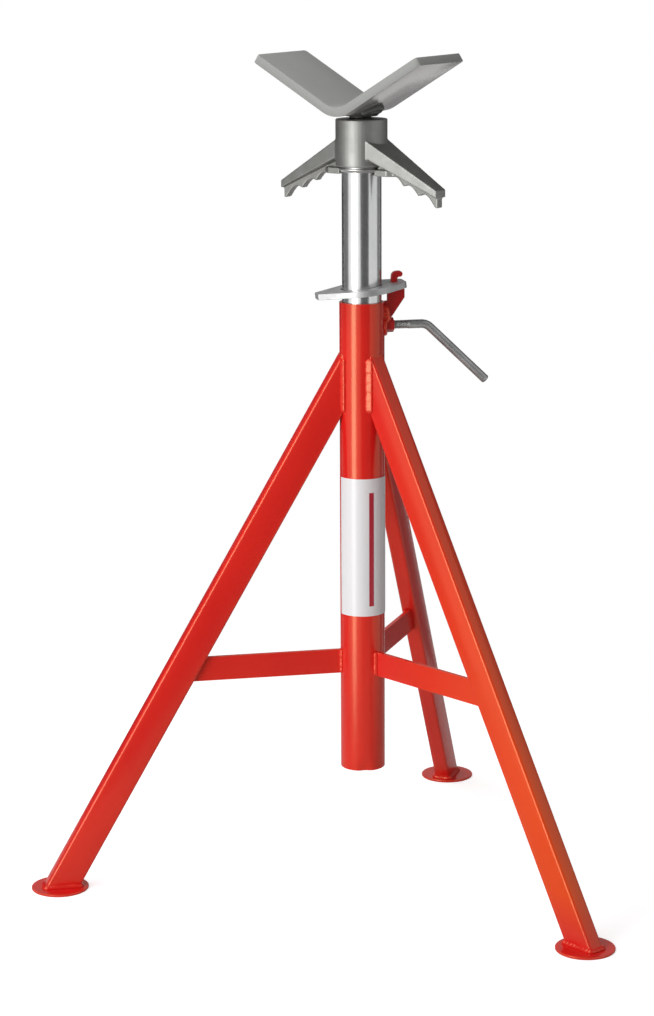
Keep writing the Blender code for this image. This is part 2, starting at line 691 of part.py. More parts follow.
def arm_beam():
    """The arm's broad tapering beam, from inside the hub to the tip, heights from the hub's underside."""
    bm = bmesh.new()
    root = HUB_DIAMETER / 4
    for reach, width in ((root, ARM_ROOT_WIDTH), (ARM_REACH, ARM_TIP_WIDTH)):
        for side in (-1, 1):
            bm.verts.new((reach, side * width / 2, arm_top(reach)))
            bm.verts.new((reach, side * width / 2, arm_underside(reach)))
    bmesh.ops.convex_hull(bm, input=bm.verts)
    bmesh.ops.dissolve_limit(bm, angle_limit=math.radians(1.0), verts=bm.verts, edges=bm.edges)
    return mesh_from(bm, "arm_beam")


def grip_outline():
    """The finger grip under the beam: hollows between peaks, then a nub at the tip."""
    root = HUB_DIAMETER / 4
    points = [(root, -LIP_BELOW_HUB + LIP_THICKNESS / 2)]
    for (start, first), (end, last), dip in zip(GRIP_PEAK_SHARES, GRIP_PEAK_SHARES[1:], GRIP_HOLLOW_SHARES):
        for index in range(GRIP_HOLLOW_STEPS):
            part = index / GRIP_HOLLOW_STEPS
            reach = ARM_REACH * (start + (end - start) * part)
            drop = first + (last - first) * part - dip * math.sin(math.pi * part)
            points.append((reach, arm_underside(reach) - GRIP_DEPTH * drop))
    for share, drop in GRIP_PEAK_SHARES[-1:] + GRIP_NUB_SHARES:
        points.append((ARM_REACH * share, arm_underside(ARM_REACH * share) - GRIP_DEPTH * drop))
    for reach in (ARM_REACH * GRIP_NUB_SHARES[-1][0], root):
        points.append((reach, arm_underside(reach) + ARM_TIP_DEPTH / 2))
    return points


def adjusting_nut(mast):
    """One casting: the hub, two arms with finger grips, and a lip on each arm beside the collar."""
    axis = axis_empty("nut_axis", (0.0, 0.0, HUB_BOTTOM), NUT_AZIMUTH, mast)
    edge = HUB_DIAMETER / 2
    profile = ((0.0, 0.0), (edge - HUB_CHAMFER, 0.0), (edge, HUB_CHAMFER), (edge, HUB_HEIGHT - HUB_CHAMFER),
               (edge - HUB_CHAMFER, HUB_HEIGHT), (0.0, HUB_HEIGHT))
    nut = piece("adjusting_nut", turned("adjusting_nut", profile, TUBE_SIDES), "casting_grey", axis)
    beam = arm_beam()
    grip = upright(prism("arm_grip", grip_outline(), -GRIP_THICKNESS / 2, GRIP_THICKNESS / 2))
    start = HUB_DIAMETER / 4
    end = COLLAR_DIAMETER / 2 + LIP_CLEARANCE + LIP_LENGTH
    sides = ((start, -LIP_WIDTH / 2), (end, -GRIP_THICKNESS / 4), (end, GRIP_THICKNESS / 4), (start, LIP_WIDTH / 2))
    corners = (sides[0], (end - LIP_WIDTH / 2, -LIP_WIDTH / 2), sides[1], sides[2],
               (end - LIP_WIDTH / 2, LIP_WIDTH / 2), sides[3])
    lip = prism("arm_lip", corners, -LIP_BELOW_HUB, -LIP_BELOW_HUB + LIP_THICKNESS)
    for index in range(2):
        for mesh in (beam, grip, lip):
            guide = cutter(mesh.name + "_" + str(index), mesh, axis)
            guide.rotation_euler = (0.0, 0.0, math.pi * index)
            boolean(nut, guide, "UNION")
    room = COLLAR_DIAMETER / 2 + LIP_CLEARANCE
    boolean(nut, cutter("collar_room_cutter", cylinder("collar_room", room, -HUB_HEIGHT, 0.0), axis))
    bore = cylinder("nut_bore", SCREW_RADIUS + TURN_CLEARANCE, -HUB_HEIGHT, HUB_HEIGHT + OVERRUN, PIN_SIDES)
    boolean(nut, cutter("nut_bore_cutter", bore, axis))


# Jack screw, stop ring, boss and saddle

def saddle_rise():
    """How far the underside's rounded bend lies above the point where its two flats would meet."""
    slope = math.radians(SADDLE_SLOPE)
    return (SADDLE_BEND_RADIUS + SADDLE_THICKNESS) * (1.0 / math.cos(slope) - 1.0)


def underside(lower):
    """The saddle's underside seen along its bend, from the point where its flats would meet, moved out by lower."""
    slope = math.radians(SADDLE_SLOPE)
    radius = SADDLE_BEND_RADIUS + SADDLE_THICKNESS
    centre = (0.0, radius / math.cos(slope))
    bend = arc(centre, radius + lower, -90.0 - SADDLE_SLOPE, -90.0 + SADDLE_SLOPE, ARC_STEPS)
    x = SADDLE_WING_LENGTH * math.cos(slope) + lower * math.sin(slope)
    y = SADDLE_WING_LENGTH * math.sin(slope) - lower * math.cos(slope)
    return [(-x, y)] + bend + [(x, y)]


def saddle_outline():
    return underside(0.0) + underside(-SADDLE_THICKNESS)[::-1]


def head(mast):
    """The saddle, its boss, the jack screw and the stop ring, which rise together."""
    axis = axis_empty("head_axis", (0.0, 0.0, HUB_TOP), SADDLE_AZIMUTH, mast)
    meeting = SADDLE_ABOVE_HUB - saddle_rise()
    half = SADDLE_WIDTH / 2
    sheet = prism("v_saddle", saddle_outline(), -half, half)
    upright(sheet)
    round_tip_corners(sheet)
    sheet.transform(Matrix.Translation((-SADDLE_OFFSET, 0.0, meeting)))
    saddle = piece("v_saddle", sheet, "saddle_grey", axis)
    edge_bevel(saddle, SADDLE_EDGE)

    slope = math.radians(SADDLE_SLOPE)
    radius = BOSS_DIAMETER / 2
    top = meeting + (radius + SADDLE_OFFSET) * math.tan(slope)
    profile = ((0.0, BOSS_ABOVE_HUB), (radius - BOSS_CHAMFER, BOSS_ABOVE_HUB),
               (radius, BOSS_ABOVE_HUB + BOSS_CHAMFER), (radius, top), (0.0, top))
    boss = piece("saddle_boss", turned("saddle_boss", profile, TUBE_SIDES), "casting_grey", axis)
    outline = underside(GAP) + [(half, top + half), (-half, top + half)]
    guide = cutter("boss_trim_cutter", upright(prism("boss_trim", outline, -half, half)), axis)
    guide.location = (-SADDLE_OFFSET, 0.0, meeting)
    boolean(boss, guide)

    stand_off = SADDLE_WELD_RADIUS + GAP
    reach = radius + stand_off
    for side, sign in (("left", -1), ("right", 1)):
        path = []
        for index in range(ARC_STEPS + 1):
            angle = math.radians(SADDLE_WELD_SWEEP * (2 * index / ARC_STEPS - 1))
            x = sign * reach * math.cos(angle)
            height = meeting + abs(x + SADDLE_OFFSET) * math.tan(slope) - (stand_off + GAP) / math.cos(slope)
            path.append((x, reach * math.sin(angle), height))
        bead("saddle_weld_" + side, path, False, SADDLE_WELD_RADIUS, "saddle_grey", axis)

    stop_top = -HUB_HEIGHT - SCREW_TRAVEL - SCREW_TRAVEL_MARGIN
    stop_low = stop_top - STOP_THICKNESS
    screw = cylinder("jack_screw", SCREW_RADIUS, stop_low - SCREW_END, BOSS_ABOVE_HUB - GAP, PIN_SIDES)
    piece("jack_screw", screw, "screw_steel", axis)
    inner = SCREW_RADIUS + GAP
    outer = INNER_BORE_RADIUS - STOP_CLEARANCE
    profile = ((inner, stop_low), (outer, stop_low), (outer, stop_top), (inner, stop_top))
    piece("screw_stop", turned("screw_stop", profile, PIN_SIDES), "screw_steel", axis)


def round_tip_corners(sheet):
    """Rounds the four corners of the saddle's wing tips, seen square to the wing."""
    bm = bmesh.new()
    bm.from_mesh(sheet)
    tip = max(v.co.x for v in bm.verts)
    half = SADDLE_WIDTH / 2
    near = SADDLE_THICKNESS
    chosen = []
    for edge in bm.edges:
        a, b = (v.co for v in edge.verts)
        at_side = all(abs(abs(c.y) - half) < MERGE_DISTANCE for c in (a, b)) and a.y * b.y > 0.0
        if at_side and min(abs(a.x), abs(b.x)) > tip - near:
            chosen.append(edge)
    bmesh.ops.bevel(bm, geom=chosen, offset=SADDLE_CORNER, offset_type="OFFSET", segments=3,
                    profile=ROUND_BEVEL_SHARE, affect="EDGES", clamp_overlap=True)
    bmesh.ops.recalc_face_normals(bm, faces=bm.faces)
    bm.to_mesh(sheet)
    bm.free()


def build():
    clear_scene()
    mast = axis_empty("mast_axis", (0.0, -FOOT_CIRCLE_RADIUS / 4, 0.0))
    clamp_side = axis_empty("clamp_side", (0.0, 0.0, 0.0), CLAMP_AZIMUTH, mast)
    mast_tube(mast)
    legs(mast)
    leg_welds(mast)
    brace_welds(mast)
    foot_welds(mast)
    label(mast)
    hook(clamp_side)
    clamp_nut(clamp_side)
    clamp_screw(clamp_side)
    lock_plate(clamp_side)
    inner_tube(mast)
    adjusting_nut(mast)
    head(mast)


build()
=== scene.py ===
# %% [markdown]
# # A pipe jack stand, dressed for a studio picture
# The stand holds one end of a pipe: three painted legs carry a mast, a zinc-plated tube slides in
# it, and a V-shaped saddle sits on a screw at the top. The solids come from the part's own source,
# so this file adds only what a maker would add last: weld beads, screw threads, softened edges,
# paint and plating, a floor and light. All lengths are metres, Z is up and the floor lies at z = 0.

# %% Load the solids
import json
import math
import random

import bmesh
import bpy
from mathutils import Matrix, Vector

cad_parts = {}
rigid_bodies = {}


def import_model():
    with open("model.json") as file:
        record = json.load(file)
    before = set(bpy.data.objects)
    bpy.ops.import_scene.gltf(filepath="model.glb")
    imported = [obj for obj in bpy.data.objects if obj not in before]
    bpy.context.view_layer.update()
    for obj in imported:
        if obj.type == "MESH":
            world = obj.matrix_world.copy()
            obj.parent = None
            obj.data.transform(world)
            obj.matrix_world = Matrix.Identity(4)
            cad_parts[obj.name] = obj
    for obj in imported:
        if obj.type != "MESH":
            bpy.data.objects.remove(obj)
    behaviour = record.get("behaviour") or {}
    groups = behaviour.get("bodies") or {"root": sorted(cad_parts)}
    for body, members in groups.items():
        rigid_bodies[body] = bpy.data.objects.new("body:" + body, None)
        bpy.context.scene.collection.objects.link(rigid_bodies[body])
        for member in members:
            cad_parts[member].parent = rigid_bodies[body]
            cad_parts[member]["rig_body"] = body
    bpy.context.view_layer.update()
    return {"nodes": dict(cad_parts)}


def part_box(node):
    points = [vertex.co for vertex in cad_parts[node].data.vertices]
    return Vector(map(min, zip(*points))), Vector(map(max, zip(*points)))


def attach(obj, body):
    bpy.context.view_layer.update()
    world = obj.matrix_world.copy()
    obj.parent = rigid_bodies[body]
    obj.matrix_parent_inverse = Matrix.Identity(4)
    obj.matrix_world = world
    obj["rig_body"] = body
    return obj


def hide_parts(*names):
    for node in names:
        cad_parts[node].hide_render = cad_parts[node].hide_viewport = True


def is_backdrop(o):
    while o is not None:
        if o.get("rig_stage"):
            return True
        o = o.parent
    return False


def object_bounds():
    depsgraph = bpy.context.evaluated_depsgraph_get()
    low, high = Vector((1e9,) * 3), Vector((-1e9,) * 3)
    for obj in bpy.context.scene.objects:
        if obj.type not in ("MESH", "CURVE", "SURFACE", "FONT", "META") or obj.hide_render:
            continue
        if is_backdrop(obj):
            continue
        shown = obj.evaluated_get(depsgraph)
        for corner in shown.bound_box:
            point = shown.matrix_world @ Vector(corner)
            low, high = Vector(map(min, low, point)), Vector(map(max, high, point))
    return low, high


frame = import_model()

# %% [markdown]
# ## Where things stand
# The origin is the middle of the footprint, and the mast stands a quarter of the foot circle's
# radius from it, towards -Y. Instead of typing that again, the mast's axis is read from the boxes
# of the two tubes. Directions round it are azimuths in degrees, counted from +X towards +Y.

# %% The mast's axis and the directions round it
mast_low, mast_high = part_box("outer_tube")
slide_low, slide_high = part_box("inner_tube")
MAST = Vector(((mast_low.x + mast_high.x) / 2, (slide_low.y + slide_high.y) / 2, 0.0))
LEG_AZIMUTHS = {"left": 210.0, "right": 330.0, "back": 90.0}
CLAMP_AZIMUTH = 30.0
SADDLE_AZIMUTH = -9.58
UP = Vector((0.0, 0.0, 1.0))


def outward(azimuth):
    """Unit vector that points away from the mast along an azimuth."""
    return Vector((math.cos(math.radians(azimuth)), math.sin(math.radians(azimuth)), 0.0))


def placed(name, data):
    """A new object with the given mesh, lamp or camera, linked to the scene."""
    made = bpy.data.objects.new(name, data)
    bpy.context.scene.collection.objects.link(made)
    return made


print("mast axis:", tuple(round(value, 5) for value in MAST[:2]))

# %% [markdown]
# ## Camera
# The picture was taken from a little above the saddle, with a longish lens. The camera's place and
# turn were fitted to points that can be told in the photograph: the feet, both tubes' edges and the
# saddle's corners. The camera is set as a photographer moves: turn round the vertical, tip down,
# then roll a hair.

# %% The photographer's camera
CAMERA_PLACE = MAST + Vector((0.8614, -2.6760, 1.02107))
CAMERA_TURN = 18.620
CAMERA_TIP = 12.345
CAMERA_ROLL = -0.3037
CAMERA_LENS = 94.545
SENSOR_WIDTH = 36.0

camera = placed("camera", bpy.data.cameras.new("camera"))
camera.data.sensor_width = SENSOR_WIDTH
camera.data.lens = CAMERA_LENS
turn = Matrix.Rotation(math.radians(CAMERA_TURN), 4, "Z")
tip = Matrix.Rotation(math.radians(90.0 - CAMERA_TIP), 4, "X")
roll = Matrix.Rotation(math.radians(CAMERA_ROLL), 4, "Z")
camera.matrix_world = Matrix.Translation(CAMERA_PLACE) @ turn @ tip @ roll
bpy.context.scene.camera = camera
print("camera stands", round((CAMERA_PLACE - MAST).length, 2), "m away")

# %% [markdown]
# ## Nodes in one line each
# Paper, paints and plating are all made of shader nodes, and most nodes are one of a few kinds: a
# sum, a blend, a range. Each kind gets a helper that makes the node, feeds it and returns its
# output, so that a finish further down reads like a formula.

# %% Helpers that make shader nodes
def feed(tree, value, socket):
    """Links a socket to another one, or sets a plain value on it."""
    if isinstance(value, bpy.types.NodeSocket):
        tree.links.new(value, socket)
    else:
        socket.default_value = value


def math_node(tree, operation, first, second=None, clamp=False):
    """One sum, product or test of sockets or numbers."""
    node = tree.nodes.new("ShaderNodeMath")
    node.operation = operation
    node.use_clamp = clamp
    feed(tree, first, node.inputs[0])
    if second is not None:
        feed(tree, second, node.inputs[1])
    return node.outputs["Value"]


def dot_node(tree, first, second):
    """How far one vector reaches along another."""
    node = tree.nodes.new("ShaderNodeVectorMath")
    node.operation = "DOT_PRODUCT"
    feed(tree, first, node.inputs[0])
    feed(tree, second, node.inputs[1])
    return node.outputs["Value"]


def range_node(tree, value, start, end):
    """Goes from 0 to 1 while value goes from start to end."""
    node = tree.nodes.new("ShaderNodeMapRange")
    feed(tree, value, node.inputs["Value"])
    feed(tree, start, node.inputs["From Min"])
    feed(tree, end, node.inputs["From Max"])
    return node.outputs["Result"]


def mix_node(tree, kind, share, first, second):
    """Goes from first to second as share goes from 0 to 1; kind is RGBA or FLOAT."""
    node = tree.nodes.new("ShaderNodeMix")
    node.data_type = kind
    feed(tree, share, node.inputs["Factor"])
    feed(tree, first, node.inputs["A"])
    feed(tree, second, node.inputs["B"])
    return node.outputs["Result"]


def bump_node(tree, height, depth, normal=None):
    """A normal tilted by a height; depth is how deep a full step of it is."""
    node = tree.nodes.new("ShaderNodeBump")
    feed(tree, height, node.inputs["Height"])
    feed(tree, depth, node.inputs["Distance"])
    if normal is not None:
        feed(tree, normal, node.inputs["Normal"])
    return node.outputs["Normal"]


print("node helpers ready")

# %% [markdown]
# ## Studio
# Catalogue pictures of shiny metal are made with a few big soft lamps and some dark boards. The
# lamps give the broad light; the boards are what the polished tube mirrors as its dark stripes, and
# what keeps its edges from melting into the white paper. The boards aren't seen directly, only
# mirrored.

# %% Lamps and boards
CAMERA_AZIMUTH = -72.16
STAND_MIDDLE = MAST + Vector((0.0, 0.0, 0.45))
BOARD_DISTANCE = 2.2
BOARD_HEIGHT = 0.9
BOARD_TALL = 4.6


def studio_place(azimuth, distance, height):
    """A place round the stand; azimuth is counted from the camera's own, positive to its right."""
    return STAND_MIDDLE + outward(CAMERA_AZIMUTH + azimuth) * distance + UP * height


def facing_stand(place):
    """Turns -Z, the way a lamp shines, towards the stand."""
    look = (STAND_MIDDLE - place).to_track_quat("-Z", "Y").to_matrix().to_4x4()
    return Matrix.Translation(place) @ look


def soft_lamp(name, azimuth, distance, height, width, tall, radiance):
    """A rectangular soft box; radiance is how bright its face looks, where 1 is paper white."""
    data = bpy.data.lights.new(name, "AREA")
    data.shape = "RECTANGLE"
    data.size = width
    data.size_y = tall
    data.energy = radiance * math.pi * width * tall
    placed(name, data).matrix_world = facing_stand(studio_place(azimuth, distance, height))
    print(name, "power", round(data.energy, 1), "W")


def flat_sheet(name, width, tall):
    """A flat rectangle round its own middle."""
    x, y = width / 2, tall / 2
    mesh = bpy.data.meshes.new(name)
    mesh.from_pydata([(-x, -y, 0.0), (x, -y, 0.0), (x, y, 0.0), (-x, y, 0.0)], [], [(0, 1, 2, 3)])
    return placed(name, mesh)


def board(name, azimuth, distance, height, width, tall, shade):
    """A flat board that only mirrors see."""
    made = flat_sheet(name, width, tall)
    made.matrix_world = facing_stand(studio_place(azimuth, distance, height))
    material = bpy.data.materials.new(name)
    material.use_nodes = True
    tree = material.node_tree
    tree.nodes.clear()
    glow = tree.nodes.new("ShaderNodeEmission")
    glow.inputs["Color"].default_value = (shade, shade, shade, 1.0)
    output = tree.nodes.new("ShaderNodeOutputMaterial")
    tree.links.new(glow.outputs["Emission"], output.inputs["Surface"])
    made.data.materials.append(material)
    made.visible_camera = False
    made.visible_diffuse = False
    made.visible_shadow = False
    made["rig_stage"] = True


soft_lamp("key_lamp", azimuth=-42.5, distance=2.4, height=0.25, width=0.95, tall=2.4,
          radiance=5.5)
soft_lamp("front_lamp", azimuth=-12.0, distance=3.2, height=1.0, width=1.6, tall=1.2,
          radiance=1.1)
soft_lamp("top_lamp", azimuth=-80.0, distance=1.0, height=2.0, width=1.4, tall=1.4,
          radiance=3.3)
for name, azimuth, width, shade in (
        ("dark_board_front", 17.0, 2.45, 0.10), ("pale_board_right", 72.0, 2.1, 0.76),
        ("grey_board_right", 113.0, 1.3, 0.22), ("edge_board_right", 145.0, 1.5, 0.10),
        ("back_board", 181.0, 1.7, 0.36), ("edge_board_left", -143.0, 1.5, 0.03),
        ("grey_board_left", -104.0, 2.0, 0.19)):
    board(name, azimuth, BOARD_DISTANCE, BOARD_HEIGHT, width, BOARD_TALL, shade)
board("ceiling_board", azimuth=0.0, distance=0.01, height=3.2, width=4.4, tall=4.4, shade=0.06)

# %% [markdown]
# ### White paper
# A small sheet under the feet catches their shadow. Round it there is only the world's white, which
# looks white to the camera and in mirrors but lights the stand dimly. The paper is white for the
# same reason: it glows in direct view only, so that no more light falls on the stand.

# %% The paper and the light all round
PAPER_SIZE = 1.5
PAPER_TONE = 0.70
PAPER_LIFT = 0.66
PAPER_DROP = 0.0002
ROOM_LIGHT = 0.30

world = bpy.data.worlds.new("studio")
bpy.context.scene.world = world
world.use_nodes = True
tree = world.node_tree
tree.nodes.clear()
rays = tree.nodes.new("ShaderNodeLightPath")
mirrored = math_node(tree, "MAXIMUM", rays.outputs["Is Glossy Ray"],
                     rays.outputs["Is Transmission Ray"])
seen = math_node(tree, "MAXIMUM", rays.outputs["Is Camera Ray"], mirrored)
sky = tree.nodes.new("ShaderNodeBackground")
sky.inputs["Color"].default_value = (1.0, 1.0, 1.0, 1.0)
tree.links.new(mix_node(tree, "FLOAT", seen, ROOM_LIGHT, 1.0), sky.inputs["Strength"])
output = tree.nodes.new("ShaderNodeOutputWorld")
tree.links.new(sky.outputs["Background"], output.inputs["Surface"])

paper = flat_sheet("paper", PAPER_SIZE, PAPER_SIZE)
paper.location = (0.0, 0.0, -PAPER_DROP)
paper_white = bpy.data.materials.new("paper_white")
paper_white.use_nodes = True
tree = paper_white.node_tree
shader = tree.nodes["Principled BSDF"]
shader.inputs["Base Color"].default_value = (PAPER_TONE, PAPER_TONE, PAPER_TONE, 1.0)
shader.inputs["Roughness"].default_value = 1.0
shader.inputs["Specular IOR Level"].default_value = 0.0
shader.inputs["Emission Color"].default_value = (1.0, 1.0, 1.0, 1.0)
rays = tree.nodes.new("ShaderNodeLightPath")
tree.links.new(math_node(tree, "MULTIPLY", rays.outputs["Is Camera Ray"], PAPER_LIFT),
               shader.inputs["Emission Strength"])
paper.data.materials.append(paper_white)
paper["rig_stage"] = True
bpy.context.scene.view_settings.view_transform = "Standard"
print("paper", PAPER_SIZE, "m wide")

# %% [markdown]
# ## Effects that several finishes share
# Real finishes are never one flat colour. Each effect here is a node group with named sockets: it
# is built once and every finish sets its own values. The groups read each piece's own coordinates,
# so the marks stay on a piece when it slides or turns.

# %% Helpers that start a group
FLOAT, COLOUR = "NodeSocketFloat", "NodeSocketColor"
GREY = (0.5, 0.5, 0.5, 1.0)


def node_group(name, inputs, outputs):
    """An empty node group with the given sockets; returns its tree, its input and output node."""
    tree = bpy.data.node_groups.new(name, "ShaderNodeTree")
    for label, kind, value in inputs:
        socket = tree.interface.new_socket(name=label, in_out="INPUT", socket_type=kind)
        socket.default_value = value
    for label, kind in outputs:
        tree.interface.new_socket(name=label, in_out="OUTPUT", socket_type=kind)
    return tree, tree.nodes.new("NodeGroupInput"), tree.nodes.new("NodeGroupOutput")


def own_place(tree, stretch=(1.0, 1.0, 1.0)):
    """The piece's own coordinates, squeezed or stretched along its axes."""
    place = tree.nodes.new("ShaderNodeTexCoord")
    scale = tree.nodes.new("ShaderNodeMapping")
    scale.inputs["Scale"].default_value = stretch
    tree.links.new(place.outputs["Object"], scale.inputs["Vector"])
    return scale.outputs["Vector"]


def noise(tree, vector, scale, detail=3.0, roughness=0.5):
    """Noise from 0 to 1; scale is how many lumps a metre holds."""
    node = tree.nodes.new("ShaderNodeTexNoise")
    node.inputs["Detail"].default_value = detail
    node.inputs["Roughness"].default_value = roughness
    feed(tree, vector, node.inputs["Vector"])
    feed(tree, scale, node.inputs["Scale"])
    return node.outputs["Fac"]


print("group helpers ready")

# %% [markdown]
# ### Uneven tone
# A coat of paint or zinc is a little thicker here and thinner there. Broad noise shifts the colour
# between two close tones, and a finer one shifts the gloss, which shows most in long highlights.

# %% Uneven tone group
TONE_SPREAD = (0.32, 0.68)
GLOSS_LUMPS = 160.0

tree, given, gives = node_group(
    "uneven_tone",
    [("Tone", COLOUR, GREY), ("Other Tone", COLOUR, GREY), ("Patch Size", FLOAT, 18.0),
     ("Gloss", FLOAT, 0.3), ("Gloss Change", FLOAT, 0.06)],
    [("Colour", COLOUR), ("Roughness", FLOAT)])
place = own_place(tree)
broad = noise(tree, place, given.outputs["Patch Size"], detail=4.0)
tone = mix_node(tree, "RGBA", range_node(tree, broad, *TONE_SPREAD), given.outputs["Tone"],
                given.outputs["Other Tone"])
tree.links.new(tone, gives.inputs["Colour"])
fine = noise(tree, place, GLOSS_LUMPS, detail=4.0, roughness=0.6)
shift = math_node(tree, "MULTIPLY", math_node(tree, "SUBTRACT", fine, 0.5),
                  given.outputs["Gloss Change"])
gloss = math_node(tree, "ADD", given.outputs["Gloss"], math_node(tree, "MULTIPLY", shift, 2.0))
tree.links.new(gloss, gives.inputs["Roughness"])
uneven_tone = tree
print("uneven_tone:", len(tree.nodes), "nodes")

# %% [markdown]
# ### Grain
# Sprayed paint dries with a faint orange-peel ripple, a sand casting keeps the sand's grain, and
# drawn tube has fine lines along its length. All three are height noise; they differ in size and in
# how far it is stretched.

# %% Grain groups
BROAD_GRAIN = 0.23
ALONG_TUBE = (1.0, 1.0, 0.012)

tree, given, gives = node_group(
    "grain", [("Grain Size", FLOAT, 400.0), ("Softness", FLOAT, 0.5)], [("Height", FLOAT)])
place = own_place(tree)
ripple = noise(tree, place, given.outputs["Grain Size"], detail=2.0)
broad_size = math_node(tree, "MULTIPLY", given.outputs["Grain Size"], BROAD_GRAIN)
broad = noise(tree, place, broad_size, detail=2.0)
height = mix_node(tree, "FLOAT", given.outputs["Softness"], ripple, broad)
tree.links.new(height, gives.inputs["Height"])
grain = tree

tree, given, gives = node_group(
    "drawn_lines", [("Line Count", FLOAT, 900.0)], [("Height", FLOAT)])
lines = noise(tree, own_place(tree, ALONG_TUBE), given.outputs["Line Count"], roughness=0.65)
tree.links.new(lines, gives.inputs["Height"])
drawn_lines = tree
print("grain and drawn_lines built")

# %% [markdown]
# ### Worn and highlit edges
# Paint and plating are thinnest on a corner, and a new stand already shows a fine light line there.
# That light line is partly the thin coat and partly a painted highlight, where a rounded edge
# catches the light. The Bevel node looks at the surface a millimetre round each point; where its
# softened normal differs from the true one, the point lies on an edge. Noise breaks the line up.

# %% Worn and highlit edges group
EDGE_REACH = 0.0009
EDGE_LIKENESS = (0.995, 0.90)
WEAR_LUMPS = 120.0

tree, given, gives = node_group(
    "worn_and_highlight_edges",
    [("Base", COLOUR, GREY), ("Edge Tone", COLOUR, (0.9, 0.9, 0.9, 1.0)), ("Wear", FLOAT, 0.5)],
    [("Colour", COLOUR)])
soft = tree.nodes.new("ShaderNodeBevel")
soft.samples = 4
soft.inputs["Radius"].default_value = EDGE_REACH
true = tree.nodes.new("ShaderNodeNewGeometry")
likeness = dot_node(tree, soft.outputs["Normal"], true.outputs["Normal"])
edge = range_node(tree, likeness, *EDGE_LIKENESS)
broken = noise(tree, own_place(tree), WEAR_LUMPS, detail=4.0, roughness=0.7)
mask = math_node(tree, "MULTIPLY", edge,
                 math_node(tree, "MULTIPLY", broken, given.outputs["Wear"]), clamp=True)
# The light edge tone is partly the thin coat and partly a painted highlight on rounded edges.
worn_and_highlight = mix_node(tree, "RGBA", mask, given.outputs["Base"], given.outputs["Edge Tone"])
tree.links.new(worn_and_highlight, gives.inputs["Colour"])
worn_and_highlight_edges = tree
print("worn_and_highlight_edges:", len(tree.nodes), "nodes")

# %% [markdown]
# ## Finishes
# Each finish is a Principled shader fed by those groups. The helper starts one with its tones, its
# light edges, partly thin coat and partly painted highlight, and its grain; what is special about a
# finish is set after it.

# %% A helper that starts a finish
def set_inputs(node, **values):
    """Sets a node's inputs by their names; an underscore stands for a space."""
    for label, value in values.items():
        node.inputs[label.replace("_", " ")].default_value = value


def place_group(material, group, **values):
    """Puts a node group in a material and sets its inputs; returns the node."""
    node = material.node_tree.nodes.new("ShaderNodeGroup")
    node.node_tree = group
    set_inputs(node, **values)
    return node


def shader_of(material):
    return material.node_tree.nodes["Principled BSDF"]


def fed_by(socket):
    """The output that an input is linked to."""
    return socket.links[0].from_socket


def start_finish(name, tone, other_tone, edge_tone, wear_and_highlight, gloss, gloss_change, patches, grain_size,
                 grain_depth, softness=0.5, metallic=0.0):
    """A material with uneven tone, light edges (thin coat and painted highlight) and grain."""
    material = bpy.data.materials.new(name)
    material.use_nodes = True
    tree, shader = material.node_tree, shader_of(material)
    tones = place_group(material, uneven_tone, Tone=(*tone, 1.0), Other_Tone=(*other_tone, 1.0),
                        Patch_Size=patches, Gloss=gloss, Gloss_Change=gloss_change)
    edges = place_group(material, worn_and_highlight_edges, Edge_Tone=(*edge_tone, 1.0), Wear=wear_and_highlight)
    tree.links.new(tones.outputs["Colour"], edges.inputs["Base"])
    tree.links.new(edges.outputs["Colour"], shader.inputs["Base Color"])
    tree.links.new(tones.outputs["Roughness"], shader.inputs["Roughness"])
    ripple = place_group(material, grain, Grain_Size=grain_size, Softness=softness)
    tree.links.new(bump_node(tree, ripple.outputs["Height"], grain_depth), shader.inputs["Normal"])
    shader.inputs["Metallic"].default_value = metallic
    return material


print("finish helper ready")

# %% [markdown]
# ### Gloss paint
# The frame wears a red enamel, the hook and its nut a deeper crimson one. The highlights of this
# paint are warm, not white, so the specular colour is tinted orange. Where paint bends over a
# corner it turns a light orange, partly from the thin coat and partly as a painted highlight. The
# frame isn't one red all over: the right leg is painted more orange the further it is from the
# mast, and only its pad is red again. That orange is painted light, standing for strong warm light
# on that side, not another paint. Two gradients in the piece's own coordinates, one outwards and
# one up, paint it.

# %% Painted warm light group
# The orange here is painted light: it stands for strong warm light on the right leg's side.
PAINTED_LIGHT_WAY = outward(LEG_AZIMUTHS["right"])
PAINTED_LIGHT_START, PAINTED_LIGHT_END = 0.03, 0.27
PAD_RED_END, LEG_PAINTED_LIGHT_START = 0.008, 0.055

tree, given, gives = node_group(
    "painted_warm_light",
    [("Base", COLOUR, GREY), ("Faded Tone", COLOUR, GREY), ("Fade Start", FLOAT, 0.0),
     ("Fade End", FLOAT, 0.2)],
    [("Colour", COLOUR)])
place = own_place(tree)
parts = tree.nodes.new("ShaderNodeSeparateXYZ")
tree.links.new(place, parts.inputs["Vector"])
# Painted light: the frame turns orange outwards along the right leg, above its pad.
painted_light_share = range_node(tree, dot_node(tree, place, PAINTED_LIGHT_WAY), given.outputs["Fade Start"],
                   given.outputs["Fade End"])
raised = range_node(tree, parts.outputs["Z"], PAD_RED_END, LEG_PAINTED_LIGHT_START)
colour = mix_node(tree, "RGBA", math_node(tree, "MULTIPLY", painted_light_share, raised),
                  given.outputs["Base"], given.outputs["Faded Tone"])
tree.links.new(colour, gives.inputs["Colour"])
painted_warm_light = tree
print("painted_warm_light:", len(tree.nodes), "nodes")

# %% Red and crimson enamel
red_enamel = start_finish(
    "red_enamel", (0.76, 0.016, 0.013), (0.69, 0.011, 0.011), (0.95, 0.24, 0.10), wear_and_highlight=0.9,
    gloss=0.22, gloss_change=0.04, patches=9.0, grain_size=420.0, grain_depth=0.00003)
set_inputs(shader_of(red_enamel), Specular_IOR_Level=0.85, Specular_Tint=(1.0, 0.74, 0.42, 1.0))
